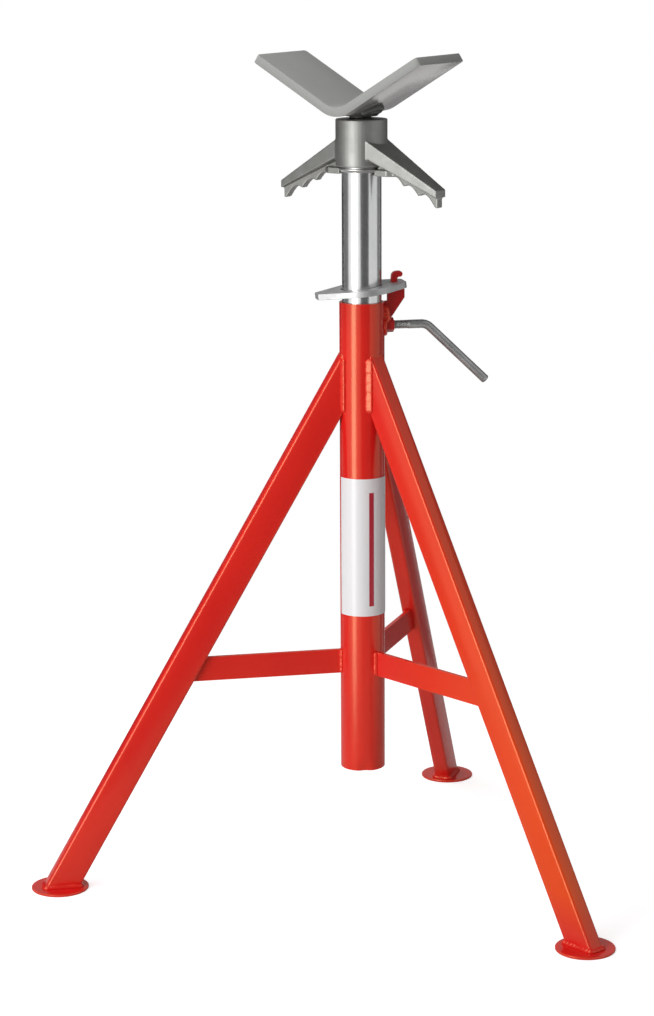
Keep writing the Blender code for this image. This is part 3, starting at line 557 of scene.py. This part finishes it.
# The right leg's orange is painted warm light, mixed into the base colour.
mast_along = MAST.dot(PAINTED_LIGHT_WAY)
fade = place_group(red_enamel, painted_warm_light, Faded_Tone=(0.78, 0.052, 0.003, 1.0),
                   Fade_Start=mast_along + PAINTED_LIGHT_START, Fade_End=mast_along + PAINTED_LIGHT_END)
links = red_enamel.node_tree.links
edge_base = fed_by(shader_of(red_enamel).inputs["Base Color"]).node.inputs["Base"]
links.new(fed_by(edge_base), fade.inputs["Base"])
links.new(fade.outputs["Colour"], edge_base)

crimson_enamel = start_finish(
    "crimson_enamel", (0.50, 0.010, 0.014), (0.42, 0.008, 0.011), (0.80, 0.10, 0.08), wear_and_highlight=0.8,
    gloss=0.30, gloss_change=0.06, patches=22.0, grain_size=420.0, grain_depth=0.00008)
set_inputs(shader_of(crimson_enamel), Specular_IOR_Level=0.7, Specular_Tint=(1.0, 0.68, 0.52, 1.0))
print("enamels built")

# %% [markdown]
# ### Zinc, casting and steel
# Bright zinc plating is a mirror with a faint grey veil, and a duller one lies on the lock plate,
# the rod and the collar. The nut is a raw casting and the jack screw is oiled steel. In bare metal
# the colour sits in the reflection. The plate's film and the dark skin on the boss are partly dull,
# so these two are only partly metallic.

# %% Metals
LINE_DEPTH = 0.00002

bright_zinc = start_finish(
    "bright_zinc", (0.74, 0.75, 0.74), (0.68, 0.69, 0.69), (0.9, 0.9, 0.9), wear_and_highlight=0.5,
    gloss=0.21, gloss_change=0.04, patches=30.0, grain_size=900.0, grain_depth=0.000015,
    metallic=1.0)
tree, normal = bright_zinc.node_tree, shader_of(bright_zinc).inputs["Normal"]
lines = place_group(bright_zinc, drawn_lines, Line_Count=700.0)
tree.links.new(bump_node(tree, lines.outputs["Height"], LINE_DEPTH, fed_by(normal)), normal)

plate_zinc = start_finish(
    "plate_zinc", (0.50, 0.505, 0.50), (0.38, 0.385, 0.385), (0.62, 0.62, 0.62), wear_and_highlight=0.5,
    gloss=0.42, gloss_change=0.08, patches=60.0, grain_size=500.0, grain_depth=0.00010,
    metallic=0.65)

rod_zinc = start_finish(
    "rod_zinc", (0.44, 0.445, 0.44), (0.33, 0.335, 0.33), (0.60, 0.60, 0.60), wear_and_highlight=0.4,
    gloss=0.42, gloss_change=0.08, patches=90.0, grain_size=500.0, grain_depth=0.00010,
    metallic=1.0)

collar_zinc = start_finish(
    "collar_zinc", (0.50, 0.50, 0.49), (0.42, 0.42, 0.41), (0.66, 0.66, 0.64), wear_and_highlight=0.6,
    gloss=0.40, gloss_change=0.06, patches=60.0, grain_size=600.0, grain_depth=0.00005,
    metallic=1.0)

cast_grey = start_finish(
    "cast_grey", (0.30, 0.30, 0.287), (0.255, 0.255, 0.242), (0.50, 0.50, 0.47), wear_and_highlight=0.9,
    gloss=0.49, gloss_change=0.06, patches=70.0, grain_size=700.0, grain_depth=0.00014,
    softness=0.35, metallic=0.92)

boss_grey = start_finish(
    "boss_grey", (0.12, 0.12, 0.112), (0.09, 0.09, 0.084), (0.30, 0.30, 0.28), wear_and_highlight=0.8,
    gloss=0.58, gloss_change=0.06, patches=70.0, grain_size=700.0, grain_depth=0.00006,
    metallic=0.4)

oiled_steel = start_finish(
    "oiled_steel", (0.115, 0.111, 0.105), (0.08, 0.077, 0.073), (0.3, 0.3, 0.3), wear_and_highlight=0.6,
    gloss=0.56, gloss_change=0.08, patches=50.0, grain_size=600.0, grain_depth=0.00004,
    metallic=1.0)
print("metals built")

# %% [markdown]
# ### The saddle's three kinds of face
# Dirt and pipes dull the inside of the V. The sheared ends get a darker tone, which is painted
# shade, and the underside a slightly lighter one, which is painted light from below; the underside
# is also glossier and partly metallic, so that at a low angle it mirrors the dark boss. The faces
# are told apart by the direction they look in: down for the underside, along the bend for the ends.

# %% Saddle faces group
END_FACES = (0.80, 0.97)
UNDER_FACES = (0.25, 0.45)

tree, given, gives = node_group(
    "saddle_faces",
    [("Base", COLOUR, GREY), ("End Tone", COLOUR, GREY), ("Under Tone", COLOUR, GREY),
     ("Roughness", FLOAT, 0.4), ("Under Roughness", FLOAT, 0.2), ("Under Metallic", FLOAT, 0.5)],
    [("Colour", COLOUR), ("Roughness", FLOAT), ("Metallic", FLOAT)])
looks = tree.nodes.new("ShaderNodeTexCoord").outputs["Normal"]
along_bend = math_node(tree, "ABSOLUTE", dot_node(tree, looks, UP.cross(outward(SADDLE_AZIMUTH))))
end = range_node(tree, along_bend, *END_FACES)
under = range_node(tree, dot_node(tree, looks, -UP), *UNDER_FACES)
# The darker end tone is painted shade on the ends; the lighter under tone is painted light below.
colour = mix_node(tree, "RGBA", end, given.outputs["Base"], given.outputs["End Tone"])
colour = mix_node(tree, "RGBA", under, colour, given.outputs["Under Tone"])
tree.links.new(colour, gives.inputs["Colour"])
gloss = mix_node(tree, "FLOAT", under, given.outputs["Roughness"],
                 given.outputs["Under Roughness"])
tree.links.new(gloss, gives.inputs["Roughness"])
tree.links.new(math_node(tree, "MULTIPLY", under, given.outputs["Under Metallic"]),
               gives.inputs["Metallic"])
saddle_faces = tree
print("saddle_faces:", len(tree.nodes), "nodes")

# %% Saddle satin
saddle_satin = start_finish(
    "saddle_satin", (0.42, 0.425, 0.405), (0.395, 0.40, 0.38), (0.60, 0.60, 0.57), wear_and_highlight=0.6,
    gloss=0.42, gloss_change=0.05, patches=12.0, grain_size=900.0, grain_depth=0.00002)
# End_Tone is painted shade on the sheared ends, Under_Tone painted light on the underside.
faces = place_group(saddle_satin, saddle_faces, End_Tone=(0.31, 0.314, 0.30, 1.0),
                    Under_Tone=(0.44, 0.43, 0.418, 1.0), Under_Roughness=0.22,
                    Under_Metallic=0.55)
links, shader = saddle_satin.node_tree.links, shader_of(saddle_satin)
set_inputs(shader, Specular_IOR_Level=0.3)
links.new(fed_by(shader.inputs["Base Color"]), faces.inputs["Base"])
links.new(fed_by(shader.inputs["Roughness"]), faces.inputs["Roughness"])
links.new(faces.outputs["Colour"], shader.inputs["Base Color"])
links.new(faces.outputs["Roughness"], shader.inputs["Roughness"])
links.new(faces.outputs["Metallic"], shader.inputs["Metallic"])
print("saddle_satin built")

# %% [markdown]
# ### Label film
# A glossy white sticker wraps the mast. What is printed on the real one isn't repeated here; a
# plain dark-red bar runs down it. The bar is drawn by the material, from the height and from the
# direction round the mast, so that its edges stay sharp at any size.

# %% Label film with its bar
BAR_START = -55.0
BAR_END = -42.0
BAR_LOW = 0.302
BAR_HIGH = 0.427
BAR_TONE = (0.46, 0.020, 0.040, 1.0)

label_film = start_finish(
    "label_film", (0.82, 0.82, 0.825), (0.80, 0.80, 0.808), (0.95, 0.95, 0.95), wear_and_highlight=0.4,
    gloss=0.26, gloss_change=0.03, patches=14.0, grain_size=300.0, grain_depth=0.00001)
tree, base = label_film.node_tree, shader_of(label_film).inputs["Base Color"]
place = tree.nodes.new("ShaderNodeTexCoord")
parts = tree.nodes.new("ShaderNodeSeparateXYZ")
tree.links.new(place.outputs["Object"], parts.inputs["Vector"])
direction = math_node(tree, "ARCTAN2", math_node(tree, "SUBTRACT", parts.outputs["Y"], MAST.y),
                      parts.outputs["X"])
height = parts.outputs["Z"]
inside = math_node(tree, "GREATER_THAN", direction, math.radians(BAR_START))
for test, value, edge in (("LESS_THAN", direction, math.radians(BAR_END)),
                          ("GREATER_THAN", height, BAR_LOW), ("LESS_THAN", height, BAR_HIGH)):
    inside = math_node(tree, "MULTIPLY", inside, math_node(tree, test, value, edge))
tree.links.new(mix_node(tree, "RGBA", inside, fed_by(base), BAR_TONE), base)
print("label bar", round(BAR_HIGH - BAR_LOW, 3), "m long")

# %% [markdown]
# ## Softened solids
# The solids have the right form but razor edges and flat facets. No real edge is perfectly sharp: a
# bent plate, a sheared bar or a cut tube has a small round that catches a line of light. Each solid
# is copied, its loose triangles are joined and merged into whole faces, round walls are shaded
# smooth, and where an edge width is given a narrow Bevel modifier rounds what is left sharp. The
# copy then stands in for the solid on the same moving body.

# %% A helper that softens a solid
JOIN_DISTANCE = 0.00001
FLAT_ANGLE = 0.5
SOLID_SHARP_ANGLE = 38.0


def shaded(mesh, sharp_angle):
    """Smooth shading, but for edges that turn by more than the angle in degrees."""
    mesh.shade_smooth()
    mesh.set_sharp_from_angle(angle=math.radians(sharp_angle))


def stands_for(made, node, finish):
    """Gives a piece its finish and puts it in a CAD node's place."""
    made.data.materials.append(finish)
    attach(made, frame["nodes"][node]["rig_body"])
    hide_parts(node)


def softened(node, name, finish, edge=0.0, segments=2):
    """A finished copy of a CAD node, with rounded edges when edge is given, in its place on the
    same body.
    """
    solid = frame["nodes"][node].data
    mesh = bpy.data.meshes.new(name)
    mesh.from_pydata([v.co[:] for v in solid.vertices], [], [p.vertices[:] for p in solid.polygons])
    work = bmesh.new()
    work.from_mesh(mesh)
    bmesh.ops.remove_doubles(work, verts=work.verts, dist=JOIN_DISTANCE)
    bmesh.ops.dissolve_limit(work, angle_limit=math.radians(FLAT_ANGLE), verts=work.verts,
                             edges=work.edges)
    bmesh.ops.recalc_face_normals(work, faces=work.faces)
    work.to_mesh(mesh)
    work.free()
    shaded(mesh, SOLID_SHARP_ANGLE)
    made = placed(name, mesh)
    if edge:
        step = made.modifiers.new("soft_edges", "BEVEL")
        step.width = edge
        step.segments = segments
        step.limit_method = "ANGLE"
        step.angle_limit = math.radians(SOLID_SHARP_ANGLE)
        step.harden_normals = True
    stands_for(made, node, finish)
    return made


for side in LEG_AZIMUTHS:
    softened("leg_" + side, "leg_" + side + "_tube", red_enamel)
    softened("brace_" + side, "brace_" + side + "_bar", red_enamel, edge=0.0005)
    softened("foot_pad_" + side, "foot_pad_" + side + "_disc", red_enamel)
softened("outer_tube", "mast_tube", red_enamel, edge=0.0004)
softened("lock_hook", "hook_plate", crimson_enamel, edge=0.0006)
softened("clamp_nut", "hexagon_nut", crimson_enamel, edge=0.0006)
softened("label", "label_sheet", label_film)
softened("lock_plate", "tilting_plate", plate_zinc, edge=0.0008, segments=3)
softened("inner_tube", "sliding_tube", bright_zinc, edge=0.0004)
softened("saddle_boss", "boss", boss_grey, edge=0.0005)
softened("v_saddle", "saddle_bend", saddle_satin)
softened("screw_stop", "stop_ring", oiled_steel, edge=0.0004)

# %% [markdown]
# ## The cast adjusting nut
# Where the arms leave the hub, a casting has a soft fillet, not a line, because sharp corners would
# crack in the mould. A voxel remesh melts the solid's hub, arms and grips into one even skin, and a
# few rounds of smoothing then draw every corner into a small radius.

# %% One skin for the casting
CAST_VOXEL = 0.0008
CAST_EASE = 0.5
CAST_ROUNDS = 3

cast_nut = softened("adjusting_nut", "cast_nut", cast_grey)
melt = cast_nut.modifiers.new("one_skin", "REMESH")
melt.mode = "VOXEL"
melt.voxel_size = CAST_VOXEL
melt.use_smooth_shade = True
ease = cast_nut.modifiers.new("fillets", "SMOOTH")
ease.factor = CAST_EASE
ease.iterations = CAST_ROUNDS
print("cast nut skin:", CAST_VOXEL * 1000, "mm voxels")

# %% [markdown]
# ## A round bar along a path
# Weld beads, the bent clamp screw and the jack screw are all round bars whose surface changes along
# the way. One helper lays rings of points along a path and asks a small function how far each point
# stands from the middle. A thread is then a distance that climbs as it goes round, and a weld bead
# one that swells at every puddle.

# %% A helper that sweeps rings along a path
SWEEP_SHARP_ANGLE = 60.0


def spaced(corners, spacing, closed=False):
    """Points at about the given spacing along straight runs between corners."""
    corners = [Vector(corner) for corner in corners]
    points = []
    for start, end in zip(corners, corners[1:] + corners[:1] if closed else corners[1:]):
        count = max(1, round((end - start).length / spacing))
        points += [start.lerp(end, index / count) for index in range(count)]
    return points if closed else points + [corners[-1]]


def length_of(path):
    return sum((after - before).length for before, after in zip(path, path[1:]))


def swept(name, path, sides, distance_at, closed=False, start=None):
    """A mesh round the path; distance_at(length along, turn 0..1) is a point's distance from it."""
    count = len(path)
    ways = []
    for index, point in enumerate(path):
        before = path[index - 1] if index or closed else point
        after = path[(index + 1) % count] if index < count - 1 or closed else point
        ways.append((after - before).normalized())
    side = (start or ways[0].orthogonal()).normalized()
    along = 0.0
    points = []
    for index, (point, way) in enumerate(zip(path, ways)):
        if index:
            along += (point - path[index - 1]).length
            side = (side - way * side.dot(way)).normalized()
        other = way.cross(side)
        for turn in range(sides):
            angle = 2.0 * math.pi * turn / sides
            reach = distance_at(along, turn / sides)
            points.append(point + (side * math.cos(angle) + other * math.sin(angle)) * reach)
    faces = []
    for index in range(count if closed else count - 1):
        here, there = index * sides, (index + 1) % count * sides
        for turn in range(sides):
            after = (turn + 1) % sides
            faces.append((here + turn, here + after, there + after, there + turn))
    if not closed:
        faces.append(tuple(reversed(range(sides))))
        faces.append(tuple((count - 1) * sides + turn for turn in range(sides)))
    mesh = bpy.data.meshes.new(name)
    mesh.from_pydata(points, [], faces)
    shaded(mesh, SWEEP_SHARP_ANGLE)
    return placed(name, mesh)


print("sweep helper ready")

# %% [markdown]
# ## The thrust collar
# The nut turns on a collar that has a groove under its top face, so that a dark line parts it from
# the hub. A turned piece is a profile swept round an axis: here its points are listed from the neck
# at the top, outwards over the rim and down to the foot.

# %% A turned ring
COLLAR_SIDES = 96
COLLAR_SHARP_ANGLE = 25.0
COLLAR_CLEARANCE = 0.0003
NECK_WIDTH = 0.0006
GROOVE_HEIGHT = 0.0015
RIM_HEIGHT = 0.0019
RIM_CHAMFER = 0.0004
RIM_OVERHANG = 0.0024
FOOT_CHAMFER = 0.0003


def turned_ring(name, profile):
    """A ring round the mast's axis from (radius, height) points that run round its section."""
    points = []
    for turn in range(COLLAR_SIDES):
        way = outward(360.0 * turn / COLLAR_SIDES)
        points += [MAST + way * radius + UP * height for radius, height in profile]
    count = len(profile)
    faces = []
    for turn in range(COLLAR_SIDES):
        here, there = turn * count, (turn + 1) % COLLAR_SIDES * count
        for index in range(count):
            after = (index + 1) % count
            faces.append((here + index, here + after, there + after, there + index))
    mesh = bpy.data.meshes.new(name)
    mesh.from_pydata(points, [], faces)
    work = bmesh.new()
    work.from_mesh(mesh)
    bmesh.ops.recalc_face_normals(work, faces=work.faces)
    work.to_mesh(mesh)
    work.free()
    shaded(mesh, COLLAR_SHARP_ANGLE)
    return placed(name, mesh)


collar_low, collar_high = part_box("thrust_collar")
bore = (slide_high.x - slide_low.x) / 2 + COLLAR_CLEARANCE
rim = (collar_high.x - collar_low.x) / 2
top, bottom = collar_high.z, collar_low.z
rim_top, rim_bottom = top - GROOVE_HEIGHT, top - GROOVE_HEIGHT - RIM_HEIGHT
foot = rim - RIM_OVERHANG
collar = turned_ring("collar_ring", [
    (bore + NECK_WIDTH, top), (bore + NECK_WIDTH, rim_top), (rim - RIM_CHAMFER, rim_top),
    (rim, rim_top - RIM_CHAMFER), (rim, rim_bottom + RIM_CHAMFER), (rim - RIM_CHAMFER, rim_bottom),
    (foot, bottom + FOOT_CHAMFER), (foot - RIM_CHAMFER, bottom), (bore, bottom), (bore, top)])
stands_for(collar, "thrust_collar", collar_zinc)
print("collar", round(rim * 2000, 1), "mm wide")

# %% [markdown]
# ## Screws
# The jack screw is a one-inch screw with flat-topped turns, made to carry weight. The clamp screw
# is a bent rod with an ordinary fine thread only where it runs through its nut; the rest is its
# handle.

# %% The jack screw's thread
JACK_PITCH = 0.00508
JACK_DEPTH = 0.0023
JACK_SIDES = 40
JACK_STEPS = 12
CREST_SHARE, FLANK_SHARE = 0.38, 0.12


def jack_thread(radius):
    """Distance from the axis of a trapezoid thread whose crests have this radius."""
    def distance(along, turn):
        part = (along / JACK_PITCH - turn) % 1.0
        if part < CREST_SHARE:
            return radius
        if part < CREST_SHARE + FLANK_SHARE:
            return radius - JACK_DEPTH * (part - CREST_SHARE) / FLANK_SHARE
        if part < 1.0 - FLANK_SHARE:
            return radius - JACK_DEPTH
        return radius - JACK_DEPTH * (1.0 - part) / FLANK_SHARE
    return distance


low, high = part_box("jack_screw")
path = spaced([(MAST.x, MAST.y, low.z), (MAST.x, MAST.y, high.z)], JACK_PITCH / JACK_STEPS)
jack_screw = swept("jack_screw_thread", path, JACK_SIDES, jack_thread((high.x - low.x) / 2))
stands_for(jack_screw, "jack_screw", oiled_steel)
print("jack screw:", len(jack_screw.data.polygons), "faces")

# %% The bent clamp screw
CLAMP_HEIGHT = 0.6040
CLAMP_RADIUS = 0.0047
CLAMP_SIDES = 32
CLAMP_TIP = 0.02138
CLAMP_VERTEX = 0.07023
CLAMP_TAIL = 0.0912
CLAMP_BEND = 43.8
CLAMP_BEND_RADIUS = 0.0140
CLAMP_PITCH = 0.0015
CLAMP_DEPTH = 0.0008
CREST_FLAT, ROOT_FLAT = 0.125, 0.25
CLAMP_THREAD_END = 0.0295
THREAD_FADE = 0.0022
CLAMP_STEPS = 16
BEND_STEPS = 24
SHANK_SPACING, TAIL_SPACING = 0.002, 0.004
TIP_CHAMFER = 0.0008


def clamp_point(reach, rise):
    """A point by its distance from the mast's axis and its height over the clamp's hole."""
    return MAST + outward(CLAMP_AZIMUTH) * reach + UP * (CLAMP_HEIGHT + rise)


bend = math.radians(CLAMP_BEND)
bend_start = CLAMP_VERTEX - CLAMP_BEND_RADIUS * math.tan(bend / 2)
thread_end = clamp_point(CLAMP_TIP + CLAMP_THREAD_END, 0.0)
path = spaced([clamp_point(CLAMP_TIP, 0.0), thread_end], CLAMP_PITCH / CLAMP_STEPS)
path += spaced([thread_end, clamp_point(bend_start, 0.0)], SHANK_SPACING)[1:]
for index in range(1, BEND_STEPS + 1):
    angle = bend * index / BEND_STEPS
    path.append(clamp_point(bend_start + CLAMP_BEND_RADIUS * math.sin(angle),
                            -CLAMP_BEND_RADIUS * (1.0 - math.cos(angle))))
rod_end = clamp_point(CLAMP_VERTEX + CLAMP_TAIL * math.cos(bend), -CLAMP_TAIL * math.sin(bend))
chamfer_start = rod_end + (path[-1] - rod_end).normalized() * TIP_CHAMFER
path += spaced([path[-1], chamfer_start], TAIL_SPACING)[1:] + [rod_end]
rod_length = length_of(path)


def clamp_rod(along, turn):
    """Thread from the tip to just past the nut, then plain rod; both ends are chamfered."""
    radius = CLAMP_RADIUS - max(0.0, TIP_CHAMFER - along, TIP_CHAMFER - (rod_length - along))
    fade = min(1.0, max(0.0, (CLAMP_THREAD_END - along) / THREAD_FADE))
    from_crest = abs(2.0 * ((along / CLAMP_PITCH - turn) % 1.0) - 1.0)
    depth_share = min(1.0, max(0.0, (from_crest - CREST_FLAT) / (1.0 - CREST_FLAT - ROOT_FLAT)))
    return radius - CLAMP_DEPTH * fade * depth_share


clamp_screw = swept("clamp_rod", path, CLAMP_SIDES, clamp_rod)
stands_for(clamp_screw, "clamp_screw", rod_zinc)
print("clamp rod:", round(rod_length, 3), "m long")

# %% [markdown]
# ## Weld beads
# A welder lays a bead as a row of overlapping puddles, so it swells and dips every three or four
# millimetres and wanders a little. The bead starts and ends in a rounded blob. The beads take their
# places from the plain round beads of the solids, but lie deeper in the corner, so that what shows
# is a full fillet and not a rod.

# %% A helper for rippled beads
RIPPLE_PITCH = 0.0034
RIPPLE_SHARE = 0.045
PUDDLE_BOW = 0.25
WANDER_SHARE = 0.16
WANDER_SHORTEST, WANDER_LONGEST, WANDER_WAVES = 0.004, 0.02, 3
BLOB_END = 0.02
BEAD_SIDES = 24
BEAD_SPACING = 0.0005
FLATNESS = 3.2
BACK_SHARE = 0.3


def fillet_face(half_width, rise, flatness):
    """A fillet weld's section in half widths: nearly flat in front (turn 0), thin behind."""
    def share(turn):
        angle = 2.0 * math.pi * turn
        front, aside = math.cos(angle), abs(math.sin(angle))
        front = front * half_width / rise if front > 0.0 else -front / BACK_SHARE
        return (front ** flatness + aside ** flatness) ** (-1.0 / flatness)
    return share


def weld_bead(name, node, corners, radius, finish, closed=False, section=None, start=None,
              ripple=RIPPLE_SHARE):
    """A rippled bead along a path, in the place of a plain one."""
    chance = random.Random(name)
    path = spaced(corners, BEAD_SPACING, closed)
    length = length_of(path)
    waves = [(chance.uniform(WANDER_SHORTEST, WANDER_LONGEST), chance.uniform(0.0, 1.0))
             for _ in range(WANDER_WAVES)]

    def distance(along, turn):
        bow = PUDDLE_BOW * math.cos(2.0 * math.pi * turn)
        puddle = 1.0 - abs(2.0 * ((along / RIPPLE_PITCH + bow) % 1.0) - 1.0) ** 2
        drift = sum(math.sin(2.0 * math.pi * (along / wave + phase)) for wave, phase in waves)
        drift = drift / len(waves)
        size = radius * (1.0 - ripple + ripple * puddle + WANDER_SHARE * (drift - 1.0) / 2)
        if section:
            size *= section(turn)
        if closed:
            return size
        from_end = min(along, length - along)
        if from_end < radius:
            size *= math.sqrt(max(BLOB_END, 1.0 - (1.0 - from_end / radius) ** 2))
        return size

    stands_for(swept(name, path, BEAD_SIDES, distance, closed, start), node, finish)


print("bead helper ready")

# %% [markdown]
# ### Beads along the mast
# Legs, braces and the hook plate all meet the mast in an upright corner, which a fillet fills. Each
# leg's fillets have their own size, lean and flatness, as by hand, and the two beads in full view
# reach higher than the plain beads they stand for while the others stop short.

# %% Beads of the legs, the braces and the hook
TUBE_RADIUS = 0.02413
CROWN = 0.0004
LEG_HALF = 0.0092
LEG_FILLETS = {  # fillet size, lean, flatness
    "left": (0.0048, 0.22, 3.2), "right": (0.0058, 0.6, 8.0), "back": (0.0052, 0.5, 5.0)}
LEG_RIPPLE = 0.015
SEEN_BEADS = (("left", "2"), ("right", "1"))
END_SHIFT = 0.0040
BRACE_HALF, BRACE_FILLET = 0.0024, 0.0038
HOOK_HALF, HOOK_FILLET = 0.0025, 0.0085


def corner_bead(node, name, azimuth, half, leg, finish, drop=0.0, low_end=0.0,
                lean_share=0.5, foot_run=0.0, flatness=FLATNESS, ripple=RIPPLE_SHARE):
    """A fillet where a piece, twice half thick, meets the mast; lean_share turns it that way."""
    low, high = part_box(node)
    way = outward(azimuth)
    side_way = UP.cross(way)
    side_way = side_way * math.copysign(1.0, ((low + high) / 2 - MAST).dot(side_way))
    corner = way * math.sqrt(TUBE_RADIUS ** 2 - half ** 2) + side_way * half
    between = side_way.angle(corner) / 2
    half_width, rise = leg * math.cos(between), leg * math.sin(between) + CROWN
    outwards = corner.normalized().lerp(side_way, lean_share)
    line = [MAST + corner + UP * (low.z - low_end), MAST + corner + UP * (high.z - drop)]
    if foot_run:
        line.insert(0, line[0] + way * foot_run)
    weld_bead(name, node, line, half_width, finish,
              section=fillet_face(half_width, rise, flatness), start=outwards, ripple=ripple)
    return 2.0 * half_width


for side, (fillet, lean, flat) in LEG_FILLETS.items():
    for number in ("1", "2"):
        end = side + "_" + number
        drop = -END_SHIFT if (side, number) in SEEN_BEADS else END_SHIFT
        width = corner_bead("leg_weld_" + end, "leg_bead_" + end, LEG_AZIMUTHS[side], LEG_HALF,
                            fillet, red_enamel, drop=drop, lean_share=lean,
                            flatness=flat, ripple=LEG_RIPPLE)
        corner_bead("brace_mast_weld_" + end, "brace_bead_" + end, LEG_AZIMUTHS[side], BRACE_HALF,
                    BRACE_FILLET, red_enamel)
print("leg beads", round(width * 1000, 1), "mm wide")
for end in ("near", "far"):
    corner_bead("hook_weld_" + end, "hook_bead_" + end, CLAMP_AZIMUTH, HOOK_HALF, HOOK_FILLET,
                red_enamel, drop=0.002, low_end=0.001, lean_share=0.45,
                foot_run=0.0075)

# %% [markdown]
# ### Beads on the legs
# Each brace is held by one bead that climbs along the leg's side, and each leg by a bead that runs
# round it on its pad, with the leg's rounded corners. The leg leans, so the ring is longer than the
# leg's own section.

# %% Beads at the braces' far ends and round the feet
LEG_SECTION = (0.0184, 0.0334)
LEG_LEAN = math.radians(30.0)
LEG_CORNER = 0.0024
CORNER_STEPS = 5
FOOT_FILLET = 0.0040
BRACE_END_INSET = 0.0012
BRACE_END_RADIUS = 0.0018


def leg_place(azimuth, reach, across, height):
    """A point by its distance from the mast's axis along an azimuth, its offset and its height."""
    way = outward(azimuth)
    return MAST + way * reach + UP.cross(way) * across + UP * height


x, y = LEG_SECTION[1] / math.cos(LEG_LEAN) / 2, LEG_SECTION[0] / 2
half_width = FOOT_FILLET * math.cos(math.radians(45.0))
for side, azimuth in LEG_AZIMUTHS.items():
    way = outward(azimuth)
    low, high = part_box("brace_leg_weld_" + side)
    middle = (low + high) / 2 - MAST
    reach, across, height = middle.dot(way), middle.dot(UP.cross(way)), middle.z
    rise = (high.z - low.z) / 2 - BRACE_END_INSET
    run = rise * math.tan(LEG_LEAN)
    weld_bead("brace_end_bead_" + side, "brace_leg_weld_" + side,
              [leg_place(azimuth, reach + run, across, height - rise),
               leg_place(azimuth, reach - run, across, height + rise)],
              BRACE_END_RADIUS, red_enamel)

    low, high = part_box("foot_weld_" + side)
    reach = ((low + high) / 2 - MAST).dot(way)
    ring = []
    for quarter, (sx, sy) in enumerate(((1, 1), (-1, 1), (-1, -1), (1, -1))):
        for step in range(CORNER_STEPS + 1):
            angle = math.radians(90.0 * quarter + 90.0 * step / CORNER_STEPS)
            ring.append(leg_place(azimuth,
                                  reach + sx * (x - LEG_CORNER) + LEG_CORNER * math.cos(angle),
                                  sy * (y - LEG_CORNER) + LEG_CORNER * math.sin(angle), low.z))
    weld_bead("foot_bead_" + side, "foot_weld_" + side, ring, half_width, red_enamel,
              closed=True, start=way + UP, ripple=LEG_RIPPLE,
              section=fillet_face(half_width, half_width + CROWN, FLATNESS))
print("foot beads", round(2000 * half_width, 1), "mm wide")

# %% [markdown]
# ### Beads round the nut and under the saddle
# The nut's bead runs round its bottom and sides and bends with the mast. The saddle's two beads run
# round the boss where it meets the V, so they climb with the V's sides.

# %% Beads of the nut and the saddle
ARC_STEPS = 16
NUT_BEAD_SWEEP = 125.0
NUT_BEAD_CIRCLE = 0.0092
NUT_BEAD_LIFT = 0.0006
NUT_BEAD_RADIUS = 0.0027
SADDLE_BEAD_SWEEP = 66.0
SADDLE_BEAD_CIRCLE = 0.0206
SADDLE_BEAD_RADIUS = 0.0036
SADDLE_BEAD_INSET = 0.0016
SADDLE_LOW_ANGLE = math.radians(44.0)
BEND_CLEARANCE = 0.0024


def arc_angles(sweep):
    """Angles from -sweep to +sweep degrees in even steps, in radians."""
    return [math.radians(sweep * (2.0 * step / ARC_STEPS - 1.0)) for step in range(ARC_STEPS + 1)]


ring = []
for angle in arc_angles(NUT_BEAD_SWEEP):
    across, rise = NUT_BEAD_CIRCLE * math.sin(angle), -NUT_BEAD_CIRCLE * math.cos(angle)
    reach = math.sqrt((TUBE_RADIUS + NUT_BEAD_LIFT) ** 2 - across ** 2)
    ring.append(leg_place(CLAMP_AZIMUTH, reach, across, CLAMP_HEIGHT + rise))
weld_bead("nut_bead", "nut_weld", ring, NUT_BEAD_RADIUS, red_enamel)

way = outward(SADDLE_AZIMUTH)
level = math.cos(SADDLE_LOW_ANGLE)
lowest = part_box("v_saddle")[0].z + BEND_CLEARANCE
for side, sign in (("left", -1.0), ("right", 1.0)):
    low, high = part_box("saddle_weld_" + side)
    bottom, top = low.z + SADDLE_BEAD_INSET, high.z - SADDLE_BEAD_INSET
    arc = []
    for angle in arc_angles(SADDLE_BEAD_SWEEP):
        climb = (math.cos(angle) - level) / (1.0 - level)
        arc.append(leg_place(SADDLE_AZIMUTH, sign * SADDLE_BEAD_CIRCLE * math.cos(angle),
                             SADDLE_BEAD_CIRCLE * math.sin(angle),
                             max(lowest, bottom + (top - bottom) * climb)))
    weld_bead("saddle_bead_" + side, "saddle_weld_" + side, arc, SADDLE_BEAD_RADIUS, boss_grey)

# %% [markdown]
# ## Size
# The dressed stand's box is printed; the paper, lamps and boards are left out of it.

# %% Sizes
low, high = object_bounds()
print("dressed box (m):", [round(b - a, 4) for a, b in zip(low, high)])
